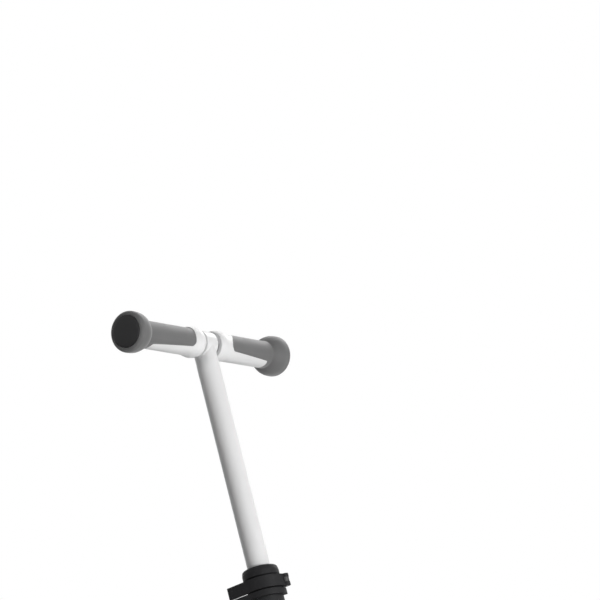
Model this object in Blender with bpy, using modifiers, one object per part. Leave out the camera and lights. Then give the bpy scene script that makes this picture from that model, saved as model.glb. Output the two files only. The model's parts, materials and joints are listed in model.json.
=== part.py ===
# Three-wheel kick scooter that steers by leaning: two wheels in front, one behind.
# Metres. +X is forward, +Y is the rider's left, +Z is up, and the ground is at z = 0.

import math

import bmesh
import bpy

for old in list(bpy.data.objects):
    bpy.data.objects.remove(old, do_unlink=True)

# Clearances
GAP = 0.0003                # between pieces that touch
LINK_PLAY = 0.0011          # round the pins of the steering linkage
DOME_PLAY = 0.0008          # between the rocker's dome and the cover

# Shared small sizes
BITE = 0.001                # how far joined shapes run into each other
THROUGH = 0.1               # reach of cutters that run right through
SOFT_EDGE = 0.0015          # chamfers on turned edges
SOCKET_FLOOR_T = 0.0018     # under a hexagon socket

# Layout
WHEELBASE = 0.448
TRACK = 0.216
TRAIL = 0.006               # kingpin ahead of the front axle
KINGPIN_INSET = 0.046       # wheel's middle plane to its kingpin

# Wheels
FRONT_WHEEL_D = 0.120
FRONT_WHEEL_W = 0.024
FRONT_TYRE_H = 0.016
REAR_WHEEL_D = 0.080
REAR_WHEEL_W = 0.024
REAR_TYRE_H = 0.011
HUB_BARREL_D = 0.027
HUB_WEB_T = 0.008
HUB_RIM_T = 0.004
WINDOWS = 5
WINDOW_EDGE = 0.002
WINDOW_MARGIN = 0.002
SPOKE_W = 0.0062
BEARING_D = 0.022
BEARING_W = 0.007
AXLE_D = 0.008
AXLE_HEAD_D = 0.014
AXLE_HEAD_H = 0.0045
AXLE_NUT_D = 0.0144
AXLE_NUT_H = 0.006
SPACER_WALL = 0.002
SEAT_LIP = 0.0025           # shoulder behind each bearing

# Deck
DECK_TOP = 0.060
DECK_H = 0.024
DECK_W = 0.112
NECK_W = 0.090
NECK_L = 0.015              # rear bulkhead back to the flare
FLARE_L = 0.060             # over which the deck widens
TAPER_L = 0.045             # over which it closes in on the fork
NOSE_MARGIN = 0.0045        # kingpin's head to the nose's side
NOSE_LIP = 0.0105           # nose ahead of the front bulkhead
NOSE_REAR = 0.030           # from the rear bulkhead back to the nose's end in the neck
NOSE_CORNER = 0.020
NECK_CORNER = 0.030
NOSE_SQUARE = 3.2           # how square the nose is from above
NOSE_SHOULDER = 0.013       # knuckle back to the nose's shoulder
DECK_EDGE = 0.003
SKIN = 0.0035
WALL = 0.004
RIB_T = 0.0025
RIB_PITCH = 0.038
MAT_T = 0.0018
MAT_MARGIN = 0.009
MAT_FRONT = 0.012           # rear bulkhead back to the mat
FLOOR_T = 0.006             # floor under the steering

# Fork and brake
ARM_T = 0.009
ARM_ROOT = 0.078            # rear axle to the fork's root in the deck
DECK_REACH = 0.034          # rear axle to the deck's rear edge
AXLE_BOSS_WALL = 0.003
ARM_BOSS_D = 0.022
WHEEL_ROOM = 0.003          # rear wheel to the arms
WELL_ROOM = 0.005           # rear wheel to the deck
FENDER_ROOM = 0.0075        # rear wheel to the fender
FENDER_T = 0.0035
FENDER_W = 0.042
FENDER_LIP = 0.002
FENDER_LIP_T = 0.0025
FENDER_CROWN = 0.0012
TAIL_INSET = 0.003
TAIL = 0.0578               # rear axle to the end of the tail
TAIL_LIFT = 0.030
BRAKE_HINGE_X = 0.047       # hinge ahead of the rear axle
BARREL_ROOM = 0.0012        # hinge barrel to the deck
BRAKE_PIN_D = 0.005
BRAKE_BARREL_D = 0.013
BRAKE_EAR_LIP = 0.001
PAD_T = 0.003
PAD_ANGLE = math.radians(102)
PAD_SPREAD = math.radians(11)
PAD_W = 0.022
FENDER_FRONT = math.radians(50)
FENDER_BACK = math.radians(148)
NECK_LAP = math.radians(3.2)
SPRING_WIRE = 0.0013
SPRING_GAP = 0.0005         # between its turns
SPRING_TURNS = 3
SPRING_LEG = 0.009

# Steering
ARM_REACH = 0.022           # kingpin to the tie rod's pin
TONGUE = 0.0275             # lean axis to the middle of the tie rod
TONGUE_D = 0.008
LINK_PIN_D = 0.006
STEER_ARM_T = 0.004
TIE_T = 0.006
TIE_END_R = 0.005
TIE_EYE = 0.003             # wall round the tongue
PIN_PLAY = 0.0004           # link pin in its slot
SLOT_BACK = 0.0002
SLOT_FRONT = 0.0009
KINGPIN_D = 0.008
KINGPIN_HEAD_D = 0.012
KINGPIN_HEAD_H = 0.004
KINGPIN_NUT_D = 0.0136
KINGPIN_NUT_H = 0.0055
NUT_SINK = 0.003            # kingpin nut's recess in the floor
NUT_ROOM = 0.0008           # round it
HEX_D = 0.006               # hexagon sockets, across corners
KNUCKLE_D = 0.019
SPINDLE_STEP = 0.0008
LINK_EYE = 0.002
BUSH_WALL = 0.002
BUSH_FLANGE = 0.0013
BUSH_LIP = 0.003
BUSH_L = 0.016
DOME_D = 0.068
DOME_DEPTH = 0.012          # lean axis to the rocker's flat underside
DOME_FLAT = 0.030           # lean axis's middle to the dome's end flats
RIM_ANGLE = math.radians(47)
BULKHEAD_T = 0.010
BULKHEAD_W = 0.092
ROCKER_PIN_D = 0.008
PIN_HEAD_LIP = 0.0022
PIN_HEAD_H = 0.0035
PIN_BOSS_WALL = 0.005
SOCKET_D = 0.036
SOCKET_TOP = 0.078
SOCKET_FLOOR = 0.014
SOCKET_FLARE = 0.0012       # where it meets the dome
BUFFER_D = 0.014
BUFFER_X = 0.017
BUFFER_Y = 0.016
BUFFER_NECK = 0.0025
COVER_H = 0.022
COVER_WALL = 0.003
COVER_CROWN = 2.5           # how full the cover is from the side
APRON_ANGLE = math.radians(45)
BOSS_H = 0.0121             # kingpin bosses inside the cover
BOSS_WALL = 0.0026
COLLAR_TOP_W = 0.004        # the cover's collar round the rocker
COLLAR_FOOT_W = 0.011
COLLAR_SLOPE = 0.012

# Stem
RAKE = math.radians(17)
BAR_HEIGHT = 0.680
UPPER_TUBE_D = 0.0254
LOWER_TUBE_D = 0.029
TUBE_WALL = 0.0015
INSERTION = 0.130
PLUG_L = 0.018
PLUG_FLANGE = 0.003
BUTTON_S = 0.050            # along the stem from the lean axis
BUTTON_D = 0.010
BUTTON_OUT = 0.0035
BUTTON_FLANGE_T = 0.0015
BUTTON_LIP = 0.0012
BUTTON_TRAVEL = 0.003
LEAF_T = 0.0008
LEAF_W = 0.008
LEAF_L = 0.030
LEAF_SEAT = 0.0025          # tube's bore to the leaf's far end

# Clamp
BAR_TO_CLAMP = 0.264
CLAMP_D = 0.038
CLAMP_H = 0.056
CLAMP_RING_D = 0.041
CLAMP_RING_H = 0.011
RING_ROUND = 0.003
CLAMP_LIP = 0.004
SLIT = 0.002
SLIT_L = 0.040
EAR_ANGLE = math.radians(45)
EAR_REACH = 0.028
EAR_T = 0.0035
BOLT_D = 0.005
NUT_D = 0.009
NUT_H = 0.004
LEVER_DROP = 0.0138         # clamp's top to the lever's top
LEVER_H = 0.0133
LEVER_T = 0.004
LEVER_ROOM = 0.0016         # lever to the clamp's sleeve
LEVER_BOSS_D = 0.009
LEVER_PIN_D = 0.004
EYE_H = 0.005
SADDLE_T = 0.0017
SADDLE_RIM = 0.0009         # round the bolt
LEVER_TIP_X = -0.031
LEVER_TIP_Y = -0.023
FLANGE_DROP = 0.001         # lever to the flange under it
FLANGE_H = 0.0075
FLANGE_T = 0.005
FLANGE_SHORT = 0.004        # its tip inside the lever's
WRAP_FRONT = math.radians(30)
WRAP_START = math.radians(-8)
WRAP_END = math.radians(-100)
LEVER_EDGE = 0.0008

# Handlebar
CROSS_BAR_D = 0.022
T_D = 0.0294
T_W = 0.020
T_SWELL = 0.0008            # the tube's swelling under the sleeve
BLEND_START = 0.034         # bar's axis down to where the tube changes
BLEND_END = 0.014
GRIP_IN = 0.015             # stem's axis to the collar
GRIP_D = 0.031
SOFT_T = 0.0022
COLLAR_D = 0.0344
COLLAR_W = 0.015
COLLAR_RUN = 0.004          # over which it sinks to the grip
PANEL_IN = 0.035            # stem's axis to the soft panel
NECK_Y = 0.107              # to the neck of the mushroom
NECK_LIP = 0.001            # the white strip's end past the neck
RIM_Y = 0.136               # to the widest ring of the mushroom
RIM_D = 0.046
END_Y = 0.1414
CAP_D = 0.0356
CAP_T = 0.0018
CAP_CROWN = 0.0022
CORE_END = 0.128
WINDOW_IN = 0.0098          # bar's axis down to the panel's edge, by the collar
WINDOW_OUT = 0.0130         # and by the mushroom
WINDOW_CORNER = 0.006

# Worked out from the sizes above
front_r = FRONT_WHEEL_D / 2
rear_r = REAR_WHEEL_D / 2
front_x = (WHEELBASE - front_r + TAIL) / 2
rear_x = front_x - WHEELBASE
wheel_y = TRACK / 2
kingpin_x = front_x + TRAIL
kingpin_y = wheel_y - KINGPIN_INSET
deck_bottom = DECK_TOP - DECK_H
floor_top = deck_bottom + FLOOR_T
cover_base = 2 * front_r - floor_top
pivot_x = kingpin_x - ARM_REACH
steer_arm_z = floor_top + 2 * GAP
tie_z = steer_arm_z + STEER_ARM_T + GAP + TIE_T / 2
pivot_z = tie_z + TONGUE
dome_r = DOME_D / 2
bulkhead_x = DOME_FLAT + BUSH_FLANGE + 2 * GAP
bulkhead_end = bulkhead_x + BULKHEAD_T
bar_s = (BAR_HEIGHT - pivot_z) / math.cos(RAKE)
upper_r = UPPER_TUBE_D / 2
lower_r = LOWER_TUBE_D / 2
lower_bore = upper_r + GAP
clamp_top = bar_s - BAR_TO_CLAMP
lower_top = clamp_top - CLAMP_LIP - GAP
lower_bottom = SOCKET_FLOOR + GAP
upper_bottom = clamp_top - INSERTION
lever_mid = clamp_top - LEVER_DROP - LEVER_H / 2
saddle_r = BOLT_D / 2 + GAP + SADDLE_RIM
bolt_x = CLAMP_D / 2 + GAP + saddle_r
arm_in = REAR_WHEEL_W / 2 + WHEEL_ROOM
arm_out = arm_in + ARM_T
hinge_x = rear_x + BRAKE_HINGE_X
hinge_z = DECK_TOP + BARREL_ROOM + BRAKE_BARREL_D / 2
bush_r = ROCKER_PIN_D / 2 + GAP + BUSH_WALL
pin_boss_r = ROCKER_PIN_D / 2 + PIN_BOSS_WALL
socket_r = SOCKET_D / 2
boss_top = cover_base + BOSS_H
cover_x = pivot_x + NOSE_LIP / 2
rim_length = bulkhead_end + NOSE_LIP / 2
rim_width = kingpin_y + KINGPIN_HEAD_D / 2 + NOSE_MARGIN
spring_low = arm_in - SPRING_TURNS * (SPRING_WIRE + SPRING_GAP) - SPRING_WIRE - GAP
core_r = GRIP_D / 2 - SOFT_T - GAP
cross_r = CROSS_BAR_D / 2

PARTS = bpy.data.collections.new("three_wheel_kick_scooter")
TOOLS = bpy.data.collections.new("cutters_and_guides")
bpy.context.scene.collection.children.link(PARTS)
bpy.context.scene.collection.children.link(TOOLS)

ALONG = {"X": (0, math.pi / 2, 0), "Y": (-math.pi / 2, 0, 0), "Z": (0, 0, 0)}


# Materials

def material(name, colour, roughness, metallic=0.0):
    made = bpy.data.materials.new(name)
    made.use_nodes = True
    shader = made.node_tree.nodes["Principled BSDF"]
    shader.inputs["Base Color"].default_value = (*colour, 1)
    shader.inputs["Roughness"].default_value = roughness
    shader.inputs["Metallic"].default_value = metallic
    made.diffuse_color = (*colour, 1)
    return made


WHITE_PAINT = material("white_paint", (0.80, 0.80, 0.80), 0.28)
WHITE_PLASTIC = material("white_plastic", (0.82, 0.82, 0.82), 0.38)
GREY_RUBBER = material("grey_rubber", (0.13, 0.13, 0.13), 0.70)
DARK_PLASTIC = material("dark_plastic", (0.030, 0.030, 0.030), 0.45)
BLACK_PLASTIC = material("black_plastic", (0.035, 0.035, 0.036), 0.50)
GREY_PLASTIC = material("grey_plastic", (0.22, 0.22, 0.22), 0.48)
GREY_TYRE = material("grey_tyre", (0.28, 0.28, 0.28), 0.55)
STEEL = material("steel", (0.55, 0.55, 0.56), 0.30, 1.0)
NYLON = material("nylon", (0.65, 0.64, 0.60), 0.45)


# Shapes

def frame(name, parent=None, at=(0, 0, 0), turn=(0, 0, 0)):
    made = bpy.data.objects.new(name, None)
    made.empty_display_size = 0.02
    TOOLS.objects.link(made)
    made.parent = parent
    made.location = at
    made.rotation_euler = turn
    return made


def shape(name, mesh, parent=None, at=(0, 0, 0), turn=(0, 0, 0)):
    made = bpy.data.objects.new(name, mesh)
    TOOLS.objects.link(made)
    made.hide_render = True
    made.display_type = "WIRE"
    made.parent = parent
    made.location = at
    made.rotation_euler = turn
    return made


def mesh_of(name, bm):
    bmesh.ops.recalc_face_normals(bm, faces=bm.faces)
    mesh = bpy.data.meshes.new(name)
    bm.to_mesh(mesh)
    bm.free()
    mesh.shade_smooth()
    mesh.set_sharp_from_angle(angle=math.radians(35))
    return mesh


def rod(name, radius, low, high, axis="Z", parent=None, at=(0, 0, 0), sides=16):
    bm = bmesh.new()
    bmesh.ops.create_cone(bm, cap_ends=True, segments=sides, radius1=radius, radius2=radius,
                          depth=high - low)
    bmesh.ops.translate(bm, verts=bm.verts, vec=(0, 0, (low + high) / 2))
    return shape(name, mesh_of(name, bm), parent, at, ALONG[axis])


def box(name, low, high, parent=None, at=(0, 0, 0), turn=(0, 0, 0)):
    bm = bmesh.new()
    bmesh.ops.create_cube(bm, size=1)
    bmesh.ops.scale(bm, verts=bm.verts, vec=[b - a for a, b in zip(low, high)])
    bmesh.ops.translate(bm, verts=bm.verts, vec=[(a + b) / 2 for a, b in zip(low, high)])
    return shape(name, mesh_of(name, bm), parent, at, turn)


def ball(name, radius, parent=None, at=(0, 0, 0), sides=24):
    bm = bmesh.new()
    bmesh.ops.create_uvsphere(bm, u_segments=sides, v_segments=sides // 2, radius=radius)
    return shape(name, mesh_of(name, bm), parent, at)


def lofted(name, sections, parent=None, sides=20):
    # an upright body through elliptical sections of (height, half x, half y), bottom to top
    bm = bmesh.new()
    rings = []
    for z, rx, ry in sections:
        angles = [math.tau * i / sides for i in range(sides)]
        rings.append([bm.verts.new((rx * math.cos(a), ry * math.sin(a), z)) for a in angles])
    for lower, upper in zip(rings, rings[1:]):
        for i in range(sides):
            j = (i + 1) % sides
            bm.faces.new((lower[i], lower[j], upper[j], upper[i]))
    bm.faces.new(rings[0][::-1])
    bm.faces.new(rings[-1])
    return shape(name, mesh_of(name, bm), parent)


def turned(name, profile, axis="Z", parent=None, at=(0, 0, 0), sides=24, turn=None):
    # profile runs down the outer side as (radius, height); off the axis it is a closed loop
    bm = bmesh.new()
    corners = [bm.verts.new((r, 0, h)) for r, h in profile]
    for a, b in zip(corners, corners[1:]):
        bm.edges.new((a, b))
    if profile[0][0] > 0:
        bm.edges.new((corners[-1], corners[0]))
    mesh = bpy.data.meshes.new(name)
    bm.to_mesh(mesh)
    bm.free()
    made = shape(name, mesh, parent, at, ALONG[axis] if turn is None else turn)
    screw = made.modifiers.new("turn", "SCREW")
    screw.steps = sides
    screw.render_steps = sides
    screw.use_merge_vertices = True
    screw.merge_threshold = 0.00001
    screw.use_smooth_shade = True
    return made


def hull(name, discs, low, high, axis="Z", parent=None, at=(0, 0, 0), sides=12):
    # the body stretched round discs of (u, v, radius), from low to high along the axis
    bm = bmesh.new()
    for u, v, radius in discs:
        for i in range(sides):
            a = math.tau * i / sides
            p, q = u + radius * math.cos(a), v + radius * math.sin(a)
            for w in (low, high):
                spot = {"X": (w, p, q), "Y": (p, w, q), "Z": (p, q, w)}[axis]
                bm.verts.new(spot)
    bmesh.ops.convex_hull(bm, input=bm.verts)
    loose = [v for v in bm.verts if not v.link_faces]
    bmesh.ops.delete(bm, geom=loose, context="VERTS")
    bmesh.ops.dissolve_limit(bm, angle_limit=0.01, verts=bm.verts, edges=bm.edges)
    return shape(name, mesh_of(name, bm), parent, at)


def rounded(corners, step=math.radians(26)):
    # corners of (x, y, radius) become points, with an arc in each corner that has a radius
    points = []
    for i, (x, y, radius) in enumerate(corners):
        x0, y0, _ = corners[i - 1]
        x1, y1, _ = corners[(i + 1) % len(corners)]
        back, on = math.atan2(y0 - y, x0 - x), math.atan2(y1 - y, x1 - x)
        opening = (on - back + math.pi) % math.tau - math.pi
        if radius <= 0 or abs(abs(opening) - math.pi) < 0.001:
            points.append((x, y))
            continue
        reach = radius / math.tan(abs(opening) / 2)
        far = radius / math.sin(abs(opening) / 2)
        middle = back + opening / 2
        cx, cy = x + far * math.cos(middle), y + far * math.sin(middle)
        start = math.atan2(y + reach * math.sin(back) - cy, x + reach * math.cos(back) - cx)
        sweep = -math.copysign(math.pi - abs(opening), opening)
        count = max(2, math.ceil(abs(sweep) / step))
        for k in range(count + 1):
            a = start + sweep * k / count
            points.append((cx + radius * math.cos(a), cy + radius * math.sin(a)))
    return points


def mirrored(half):
    # corners on the +Y side, front to back, become the whole outline
    return half + [(x, -y, r) for x, y, r in reversed(half)]


def prism(name, points, low, high, edge=0.0, parent=None, at=(0, 0, 0), turn=(0, 0, 0)):
    # a flat outline with its edges rounded, made a mesh so that it can be cut and joined
    curve = bpy.data.curves.new(name, "CURVE")
    curve.dimensions = "2D"
    curve.fill_mode = "BOTH"
    curve.extrude = (high - low) / 2 - edge
    curve.bevel_depth = edge
    curve.bevel_resolution = 0
    curve.offset = -edge
    spline = curve.splines.new("POLY")
    spline.points.add(len(points) - 1)
    for point, (x, y) in zip(spline.points, points):
        point.co = (x, y, 0, 1)
    spline.use_cyclic_u = True
    guide = bpy.data.objects.new(name + "_guide", curve)
    TOOLS.objects.link(guide)
    return solid_from_curve(name, guide, parent, at, turn, (low + high) / 2)


def wire(name, points, radius, parent=None, at=(0, 0, 0)):
    curve = bpy.data.curves.new(name, "CURVE")
    curve.dimensions = "3D"
    curve.bevel_depth = radius
    curve.bevel_resolution = 1
    curve.use_fill_caps = True
    spline = curve.splines.new("POLY")
    spline.points.add(len(points) - 1)
    for point, spot in zip(spline.points, points):
        point.co = (*spot, 1)
    guide = bpy.data.objects.new(name + "_guide", curve)
    TOOLS.objects.link(guide)
    return solid_from_curve(name, guide, parent, at, (0, 0, 0), 0)


def solid_from_curve(name, guide, parent, at, turn, lift):
    bpy.context.view_layer.update()
    seen = guide.evaluated_get(bpy.context.evaluated_depsgraph_get())
    raw = bpy.data.meshes.new_from_object(seen)
    bm = bmesh.new()
    bm.from_mesh(raw)
    bmesh.ops.remove_doubles(bm, verts=bm.verts, dist=0.000005)
    bmesh.ops.dissolve_limit(bm, angle_limit=0.002, verts=bm.verts, edges=bm.edges)
    bmesh.ops.translate(bm, verts=bm.verts, vec=(0, 0, lift))
    bpy.data.objects.remove(guide, do_unlink=True)
    bpy.data.meshes.remove(raw)
    return shape(name, mesh_of(name, bm), parent, at, turn)


def boolean(target, tools, operation):
    for tool in tools:
        step = target.modifiers.new(tool.name, "BOOLEAN")
        step.operation = operation
        step.object = tool
    return target


def cut(target, *tools):
    return boolean(target, tools, "DIFFERENCE")


def join(target, *tools):
    return boolean(target, tools, "UNION")


def part(made, name, finish):
    TOOLS.objects.unlink(made)
    PARTS.objects.link(made)
    made.hide_render = False
    made.display_type = "TEXTURED"
    made.name = name
    made.data.name = name
    made.data.materials.append(finish)
    merge = made.modifiers.new("merge_flat_faces", "DECIMATE")
    merge.decimate_type = "DISSOLVE"
    merge.angle_limit = math.radians(0.2)
    return made


# Frames on the joints' axes

lean_axis = frame("lean_axis", at=(pivot_x, 0, pivot_z))
stem = frame("stem_frame", lean_axis, turn=(0, -RAKE, 0))
bar = frame("bar_frame", stem, at=(0, 0, bar_s))
clamp_side = frame("clamp_side", stem, at=(0, 0, lever_mid), turn=(0, 0, EAR_ANGLE))
lever_offset = EAR_T + SLIT / 2 + 2 * GAP + SADDLE_T + LEVER_BOSS_D / 2
lever_x = bolt_x * math.cos(EAR_ANGLE) + lever_offset * math.sin(EAR_ANGLE)
lever_y = bolt_x * math.sin(EAR_ANGLE) - lever_offset * math.cos(EAR_ANGLE)
lever_axis = frame("lever_axis", stem, at=(lever_x, lever_y, lever_mid))
rear_centre = frame("rear_axle_centre", at=(rear_x, 0, rear_r))
brake_axis = frame("brake_hinge_axis", at=(hinge_x, 0, hinge_z))


# Deck

def deck_corners(inset, front, rear):
    half = DECK_W / 2 - inset
    neck = NECK_W / 2 - inset
    return [
        (front, neck, 0),
        (pivot_x - bulkhead_end - NECK_L, neck, 0.060),
        (pivot_x - bulkhead_end - NECK_L - FLARE_L, half, 0.120),
        (rear + TAPER_L, half, 0.030),
        (rear, arm_out + 2 * BITE - inset, 0.008),
    ]


def rim_point(angle, inset=0.0):
    # a point of the nose's outline, which the floor, the cover's rim and its apron share
    c, s = abs(math.cos(angle)), abs(math.sin(angle))
    reach = (c ** NOSE_SQUARE + s ** NOSE_SQUARE) ** (-1 / NOSE_SQUARE)
    x = cover_x + (rim_length - inset) * reach * math.cos(angle)
    return x, (rim_width - inset) * reach * math.sin(angle)


def rim_arc(first, last, count, inset=0.0):
    return [rim_point(first + (last - first) * i / count, inset) for i in range(count + 1)]


def nose_outline():
    # round in front, and drawn in to the neck behind the wheels
    front = [(x, y, 0) for x, y in rim_arc(-math.pi / 2, math.pi / 2, 16)]
    neck = NECK_W / 2
    rear = [
        (kingpin_x - KNUCKLE_D / 2 - NOSE_SHOULDER, rim_width, NOSE_CORNER),
        (pivot_x - bulkhead_end - WALL, neck, NECK_CORNER),
        (pivot_x - bulkhead_end - NOSE_REAR, neck - WALL, 0),
    ]
    return rounded(front + rear + [(x, -y, r) for x, y, r in reversed(rear)])


def rear_arm(side):
    # one arm of the fork, with the ear that carries the brake
    discs = [
        (rear_x, rear_r, ARM_BOSS_D / 2),
        (hinge_x, hinge_z, BRAKE_BARREL_D / 2 + BRAKE_EAR_LIP),
        (rear_x + ARM_ROOT, DECK_TOP - 0.009, 0.008),
        (rear_x + ARM_ROOT, deck_bottom + 0.007, 0.006),
    ]
    inner, outer = sorted((side * arm_in, side * arm_out))
    arm = hull("rear_arm", discs, inner, outer, "Y")
    boss_in, boss_out = sorted((side * (REAR_WHEEL_W / 2 + GAP), side * (arm_in + BITE)))
    return arm, rod("axle_boss", AXLE_D / 2 + AXLE_BOSS_WALL, boss_in, boss_out, "Y", rear_centre)


def deck_pockets():
    # the hollows under the deck, with the ribs left between them
    front = pivot_x - bulkhead_end - WALL
    rear = rear_x + ARM_ROOT
    pockets = prism("pockets", rounded(mirrored(deck_corners(WALL, front, rear))),
                    0, DECK_TOP - SKIN)
    count = int((front - rear) / RIB_PITCH)
    first = (front + rear - (count - 1) * RIB_PITCH) / 2
    for i in range(count):
        x = first + i * RIB_PITCH
        cut(pockets, box("cross_rib", (x - RIB_T / 2, -THROUGH, 0), (x + RIB_T / 2, THROUGH, THROUGH)))
    for y in (-DECK_W / 4, 0, DECK_W / 4):
        cut(pockets, box("long_rib", (-WHEELBASE, y - RIB_T / 2, 0), (WHEELBASE, y + RIB_T / 2, THROUGH)))
    return pockets


def deck():
    body = prism("platform", rounded(mirrored(deck_corners(0, pivot_x, rear_x + DECK_REACH))),
                 deck_bottom, DECK_TOP, DECK_EDGE)
    nose = prism("nose", nose_outline(), deck_bottom, floor_top, BITE)
    bay = box("steering_bay", (pivot_x - bulkhead_x, -THROUGH, floor_top), (WHEELBASE, THROUGH, THROUGH))
    well = rod("wheel_well", rear_r + WELL_ROOM, -arm_in, arm_in, "Y", rear_centre, sides=24)
    half, rear_half = BULKHEAD_W / 2, NECK_W / 2 - DECK_EDGE
    walls = [
        box("front_wall", (pivot_x + bulkhead_x, -half, deck_bottom + BITE),
            (pivot_x + bulkhead_end, half, cover_base - GAP)),
        box("rear_wall", (pivot_x - bulkhead_end, -rear_half, deck_bottom + BITE),
            (pivot_x - bulkhead_x, rear_half, cover_base - GAP)),
    ]
    for low, high in ((bulkhead_x, bulkhead_end), (-bulkhead_end, -bulkhead_x)):
        walls.append(rod("pin_boss", pin_boss_r, low, high, "X", lean_axis))
    join(cut(body, bay, well), nose, *walls)
    for side in (1, -1):
        join(body, *rear_arm(side))
    cut(body, deck_pockets(),
        rod("rear_axle_hole", AXLE_D / 2 + GAP, -THROUGH, THROUGH, "Y", rear_centre),
        rod("brake_pin_hole", BRAKE_PIN_D / 2 + GAP, -THROUGH, THROUGH, "Y", brake_axis),
        rod("rocker_pin_hole", ROCKER_PIN_D / 2 + GAP, -THROUGH, THROUGH, "X", lean_axis))
    for side in (1, -1):
        spot = (kingpin_x, side * kingpin_y, 0)
        cut(body, rod("kingpin_hole", KINGPIN_D / 2 + GAP, 0, THROUGH, at=spot),
            rod("nut_recess", KINGPIN_NUT_D / 2 + NUT_ROOM, 0, deck_bottom + NUT_SINK, at=spot))
    return part(body, "deck", GREY_PLASTIC)


def grip_mat():
    front = pivot_x - bulkhead_end - MAT_FRONT
    rear = rear_x + ARM_ROOT + MAT_MARGIN / 2
    outline = rounded(mirrored(deck_corners(MAT_MARGIN, front, rear)))
    mat = prism("mat", outline, DECK_TOP + GAP, DECK_TOP + GAP + MAT_T)
    return part(mat, "grip_mat", GREY_RUBBER)


# Nose cover: a squared dome, with a collar that rings the rocker's dome

def squared_dome(name, inset, height, base, sides):
    # a dome whose rim, at its base, follows the nose's outline
    level = (base / height) ** (COVER_CROWN / 2)
    rim_share = math.sqrt(1 - level ** 2) ** (2 / COVER_CROWN)
    bm = bmesh.new()
    bmesh.ops.create_uvsphere(bm, u_segments=sides, v_segments=sides // 2, radius=1)
    for v in bm.verts:
        flat = math.hypot(v.co.x, v.co.y) ** (2 / COVER_CROWN) / rim_share
        x, y = rim_point(math.atan2(v.co.y, v.co.x), inset)
        up = math.copysign(abs(v.co.z) ** (2 / COVER_CROWN), v.co.z)
        v.co = (flat * (x - cover_x), flat * y, height * up)
    found = bm.verts[:] + bm.edges[:] + bm.faces[:]
    bmesh.ops.bisect_plane(bm, geom=found, plane_co=(0, 0, base), plane_no=(0, 0, 1), clear_inner=True)
    bmesh.ops.holes_fill(bm, edges=[e for e in bm.edges if e.is_boundary])
    return shape(name, mesh_of(name, bm), at=(cover_x, 0, front_r))


def nose_cover():
    base = cover_base - front_r
    height = base + COVER_H
    body = squared_dome("cover_shell", 0, height, base, 24)
    inside = squared_dome("cover_inside", COVER_WALL, height - COVER_WALL, base - BITE, 16)
    rim_s = (dome_r + DOME_PLAY) * math.cos(RIM_ANGLE)
    rim_r = (dome_r + DOME_PLAY) * math.sin(RIM_ANGLE)
    foot_r = rim_r + COLLAR_FOOT_W
    collar = turned("cover_collar", [
        (0, rim_s), (rim_r + COLLAR_TOP_W - SOFT_EDGE, rim_s), (rim_r + COLLAR_TOP_W, rim_s - SOFT_EDGE),
        (foot_r, rim_s - COLLAR_SLOPE), (foot_r + 2 * BITE, WALL), (0, WALL),
    ], "Z", stem, sides=20)
    below = box("below_cover", (-THROUGH, -2 * THROUGH, 0), (4 * THROUGH, 2 * THROUGH, cover_base))
    boss_r = KINGPIN_HEAD_D / 2 + BOSS_WALL
    bosses = []
    for side in (1, -1):
        spot = (kingpin_x, side * kingpin_y, 0)
        bosses.append(rod("kingpin_boss", boss_r, cover_base, boss_top, at=spot))
    dome_room = ball("dome_room", dome_r + DOME_PLAY, lean_axis, sides=20)
    cut(body, inside)
    join(body, cut(collar, below), *bosses)
    cut(body, dome_room, below)
    band = rim_arc(-APRON_ANGLE, APRON_ANGLE, 6) + rim_arc(APRON_ANGLE, -APRON_ANGLE, 6, COVER_WALL)
    join(body, prism("apron", band, floor_top + GAP, cover_base + BITE / 2))
    for low, high in ((bulkhead_x - GAP, bulkhead_end + GAP), (-bulkhead_end - GAP, -bulkhead_x + GAP)):
        cut(body, rod("boss_room", pin_boss_r + GAP, low, high, "X", lean_axis))
    cut(body, rod("pin_head_room", ROCKER_PIN_D / 2 + PIN_HEAD_LIP + 2 * GAP, bulkhead_end,
                  bulkhead_end + PIN_HEAD_H + 3 * GAP, "X", lean_axis))
    for side in (1, -1):
        spot = (kingpin_x, side * kingpin_y, 0)
        cut(body, rod("kingpin_hole", KINGPIN_D / 2 + GAP, 0, THROUGH, at=spot),
            rod("kingpin_head_room", KINGPIN_HEAD_D / 2 + GAP, boss_top - KINGPIN_HEAD_H - 2 * GAP,
                THROUGH, at=spot))
    return part(body, "nose_cover", WHITE_PLASTIC)


def kingpin(side, name):
    spot = (kingpin_x, side * kingpin_y, 0)
    head_base = boss_top - KINGPIN_HEAD_H - GAP
    nut_top = deck_bottom + NUT_SINK - GAP
    nut_end = nut_top - KINGPIN_NUT_H
    shank = rod("kingpin_shank", KINGPIN_D / 2, nut_end - BITE / 2, head_base + BITE, at=spot, sides=16)
    head = rod("kingpin_head", KINGPIN_HEAD_D / 2, head_base, head_base + KINGPIN_HEAD_H, at=spot)
    socket = rod("hex_socket", HEX_D / 2, head_base + SOCKET_FLOOR_T, THROUGH, at=spot, sides=6)
    part(cut(join(head, shank), socket), f"kingpin_{name}", STEEL)
    nut = rod("nut", KINGPIN_NUT_D / 2, nut_end, nut_top, at=spot, sides=6)
    hole = rod("nut_hole", KINGPIN_D / 2 + GAP, 0, THROUGH, at=spot, sides=16)
    part(cut(nut, hole), f"kingpin_nut_{name}", STEEL)


# Rocker: turns about the lean axis, holds the column and swings the tie rod

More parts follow.
